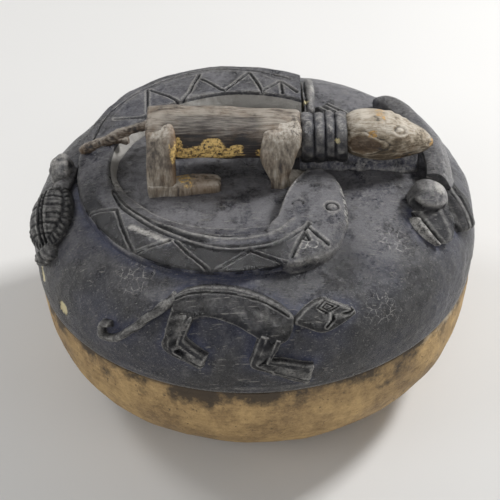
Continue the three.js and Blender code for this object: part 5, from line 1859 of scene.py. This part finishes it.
@dataclass
class Bird:
    """The bird that lies round the right shoulder with its bill pointing down.

    Attributes are in millimetres, and places are [azimuth, tilt].
    """

    spine: Line = line_of([40.5, 22.2], [25, 22.3], [10, 21.6], [-2, 21], [-9, 20.7])
    width: float = 37.0
    height: float = 16.0
    head_place: tuple[float, float] = (-18.6, 23.4)
    head_radius: float = 16.0
    head_lift: float = 9.0
    upper_left: Line = line_of([-25.0, 23.3], [-27.4, 21.1], [-28.9, 18.9], [-29.6, 16.9], [-29.7, 15.6])
    upper_right: Line = line_of(
        [-12.5, 21.4], [-15.2, 19.5], [-18.1, 17.5], [-21.5, 16.1], [-24.9, 15.1], [-28.4, 14.7],
    )
    lower_left: Line = line_of([-28.2, 23.0], [-30.6, 20.4], [-31.8, 17.8], [-31.3, 15.7])
    lower_right: Line = line_of([-26.6, 22.6], [-29.2, 20.1], [-30.5, 17.6], [-30.5, 15.6])
    wing_outer: Line = line_of([-4, 18.4], [-5.4, 16.8], [-7.4, 14.4], [-11, 12], [-15.6, 10.4])
    wing_inner: Line = line_of([-11.1, 20.3], [-14.4, 19], [-17.2, 17.2], [-20, 15], [-21, 13])
    wing_relief: float = 8.0

    def body(self) -> Skin:
        """The body: a broad smooth ridge round the shoulder, thinner at the tail end."""
        share = np.linspace(0, 1, 180)
        width = self.width * through([[0, 0.55], [0.1, 0.84], [0.35, 1], [0.8, 0.98], [1, 0.85]], share)
        arch = [[0, 0.3], [0.06, 0.7], [0.2, 0.95], [0.5, 1.0], [0.85, 0.96], [1, 0.8]]
        high = self.height * through(arch, share)
        skin, shares = ridge_along(self.spine, width, high, rows=180, columns=90, soft=2.5)
        back = step_up(0.9 - np.abs(shares[..., 1]), 0, 0.3)
        # A painted highlight along the back, over grime and scuffs
        skin.values["dusty"] = 0.75 * back
        skin.values["scuff"] = 0.6 * step_up(shares[..., 0], 0.3, 0.8) * back
        return skin.raise_by(unevenness(skin.points, 40, 0.6, 401) + scoops(skin.points, 12, 0.5, 402))

    def head(self) -> Skin:
        """The head: a knob flattened on top, with an undercut rim that overhangs the bill."""
        local = globe(100, 110)
        x, y, z = local[..., 0], local[..., 1], local[..., 2]
        local = local * self.head_radius * np.array([1.0, 1.0, 0.98])
        local[..., 2] = np.minimum(local[..., 2], 0.8 * self.head_radius + 0.2 * local[..., 2])
        skin = Skin(placed(local, DOME.stand(*self.head_place, height=self.head_lift)))
        low = step_up(-x - 0.4 * y, 0.3, 0.7)
        swell = unevenness(local, 16, 0.6, 411) + scoops(local, 8, 0.5, 412)
        swell += low * (bump(z - 0.42, 0.14, 0.9) - bump(z - 0.08, 0.22, 1.8))
        # Painted shade on the side towards the crown and on the undercut below the rim, and painted
        # highlights on the top and the outer side
        skin.values["dark"] = np.clip(low * bump(z - 0.05, 0.3, 0.85) + 0.5 * step_up(y, 0.1, 0.7), 0, 0.9)
        skin.values["scuff"] = bump(np.hypot(x - 0.1, y + 0.35), 0.5, 1.15) * (z > 0)
        skin.values["dusty"] = 1.2 * (z > 0) * step_up(-y, -0.4, 0.3)
        return skin.raise_by(swell)

    def bill(self) -> list[Skin]:
        """The bill: a broad upper half, a thin lower one beside it, and between them a low strip painted dark
        as the shade of the open mouth.
        """
        upper, foot = low_relief(
            self.upper_left, self.upper_right, 12.5, rows=130, columns=56, soft=3.0, round_ends=(0, 4)
        )
        fade = np.linspace(1.0, 0.62, 130)[:, None, None]
        upper.points = foot + (upper.points - foot) * fade
        ridge = 0.55 * np.asarray(self.upper_left) + 0.45 * np.asarray(self.upper_right[1:])
        away = distance_to(foot, lift(smooth_line(ridge, 24)))
        upper.raise_by(bump(away, 2.2, 0.7) + unevenness(upper.points, 12, 0.4, 421))
        # A pale line along the ridge: rubbed, and partly a painted highlight
        upper.mark("edge", bump(away, 1.6, 0.6))
        upper.values["scuff"] = 0.42 * bump(away - 2.0, 2.0, 1.0)
        lower, _ = low_relief(
            self.lower_left, self.lower_right, 6.5, rows=90, columns=30, soft=2.6, round_ends=(2, 3)
        )
        lower.raise_by(unevenness(lower.points, 9, 0.3, 422))
        lower.values["scuff"] = 0.75
        # The throat: a low strip painted dark as the shade inside the open mouth
        throat, _ = low_relief(self.lower_right, self.upper_left[:4], 1.2, rows=60, columns=16)
        throat.values["dark"] = 0.95
        return [upper, lower, throat]

    def wing(self) -> Skin:
        """The wing: a dark leaf in low relief with one light line down it and its point at the foot."""
        skin, foot = low_relief(
            self.wing_outer, self.wing_inner, self.wing_relief, rows=130, columns=60, soft=3.2,
            round_ends=(0, 5),
        )
        middle = 0.45 * np.asarray(self.wing_outer) + 0.55 * np.asarray(self.wing_inner)
        line = distance_to(foot, lift(smooth_line(middle, 24)))
        groove = vee(np.abs(line - 3.0), 1.3, 1.0)
        skin.raise_by(bump(line, 1.2, 0.6) - groove + unevenness(skin.points, 14, 0.4, 431))
        skin.mark("edge", bump(line, 1.0, 0.8))
        skin.values["dark"] = np.clip(0.45 + 0.4 * groove - bump(line, 1.6, 0.5), 0, 1)
        return skin

    def build(self) -> None:
        """Makes the bird's pieces."""
        make_piece("bird_back", [self.body()], Body.LID, ["bird_body"], LID_PAINT)
        make_piece("bird_face", [self.head()], Body.LID, ["bird_head"], LID_PAINT)
        make_piece("bird_open_bill", self.bill(), Body.LID, ["bird_bill"], BEAST_PAINT, reach=2.0)
        make_piece("bird_folded_wing", [self.wing()], Body.LID, ["bird_wing"], BEAST_PAINT, reach=2.0)


# Setting


@dataclass
class Setting:
    """The camera, the lamps and the plain floor.

    Attributes:
        elevation: the camera's angle above level, in degrees.
        roll: how far the picture is turned, in degrees.
        distance: from the camera to the middle of the seam, which it looks at, in millimetres.
        lens: focal length for a 36 mm wide picture.
        shift: how far the seam's middle lies off the picture's, as shares of its width.
    """

    elevation: float = 38.5
    roll: float = 2.07
    distance: float = 1720.8
    lens: float = 146.6
    shift: tuple[float, float] = (-0.0098, -0.003)

    def camera(self) -> None:
        """Makes the camera."""
        rise, roll = math.radians(self.elevation), math.radians(self.roll)
        right, up = Vector((1, 0, 0)), Vector((0, math.sin(rise), math.cos(rise)))
        forward = Vector((0, math.cos(rise), -math.sin(rise)))
        across = right * math.cos(roll) - up * math.sin(roll)
        upward = right * math.sin(roll) + up * math.cos(roll)
        place = (Vector((0, 0, SEAM)) - forward * self.distance) * MM
        data = bpy.data.cameras.new("camera")
        data.lens, data.sensor_width = self.lens, 36.0
        data.shift_x, data.shift_y = self.shift
        camera = bpy.data.objects.new("camera", data)
        turn = Matrix((across, upward, -forward)).transposed()
        camera.matrix_world = Matrix.Translation(place) @ turn.to_4x4()
        bpy.context.scene.collection.objects.link(camera)
        bpy.context.scene.camera = camera

    def lamp(self, name: str, place: tuple[float, float, float], size: float, power: float) -> None:
        """Makes a square soft lamp that faces the lid."""
        data = bpy.data.lights.new(name, "AREA")
        data.size, data.energy = size, power
        lamp = bpy.data.objects.new(name, data)
        lamp.location = place
        lamp.rotation_euler = (Vector((0, 0, 0.15)) - Vector(place)).to_track_quat("-Z", "Y").to_euler()
        bpy.context.scene.collection.objects.link(lamp)

    def floor(self) -> None:
        """Makes the pale floor."""
        reach = 6.0
        mesh = bpy.data.meshes.new("floor")
        corners = [(-reach, -reach, 0), (reach, -reach, 0), (reach, reach, 0), (-reach, reach, 0)]
        mesh.from_pydata(corners, [], [(0, 1, 2, 3)])
        made = bpy.data.materials.new("pale matt floor")
        nodes = Nodes(made)
        colour = nodes.mix(nodes.noise(METRE / 3, 2.0), "#d3d2d0", "#dbdad8")
        nodes.surface({"Base Color": colour, "Roughness": 0.9})
        mesh.materials.append(made)
        floor = bpy.data.objects.new("floor", mesh)
        bpy.context.scene.collection.objects.link(floor)

    def build(self) -> None:
        """Makes the setting."""
        self.camera()
        self.floor()
        self.lamp("lamp_right", (1.2, 0.65, 1.2), 0.32, 31.0)
        self.lamp("lamp_left", (-1.2, 0.7, 1.2), 0.5, 10.0)
        self.lamp("lamp_front", (-0.2, -1.8, 1.2), 1.0, 5.0)
        self.lamp("lamp_low_left", (-1.7, -0.8, 0.8), 0.9, 9.0)
        self.lamp("lamp_low_right", (1.6, -1.2, 0.7), 0.9, 5.0)
        world = bpy.data.worlds.new("studio")
        world.use_nodes = True
        world.node_tree.nodes["Background"].inputs["Color"].default_value = linear("#f2f2f2")
        world.node_tree.nodes["Background"].inputs["Strength"].default_value = 0.27
        bpy.context.scene.world = world
        bpy.context.scene.view_settings.view_transform = "Standard"


def main() -> None:
    """Builds the setting and every sub-assembly in order."""
    logging.basicConfig(level=logging.INFO, format="%(name)s %(message)s")
    Setting().build()
    for part in (Bowl(), Lid(), Serpent(), HandleAnimal(), FrontBeast(), Tortoise(), Bird()):
        part.build()


if __name__ == "__main__":
    main()
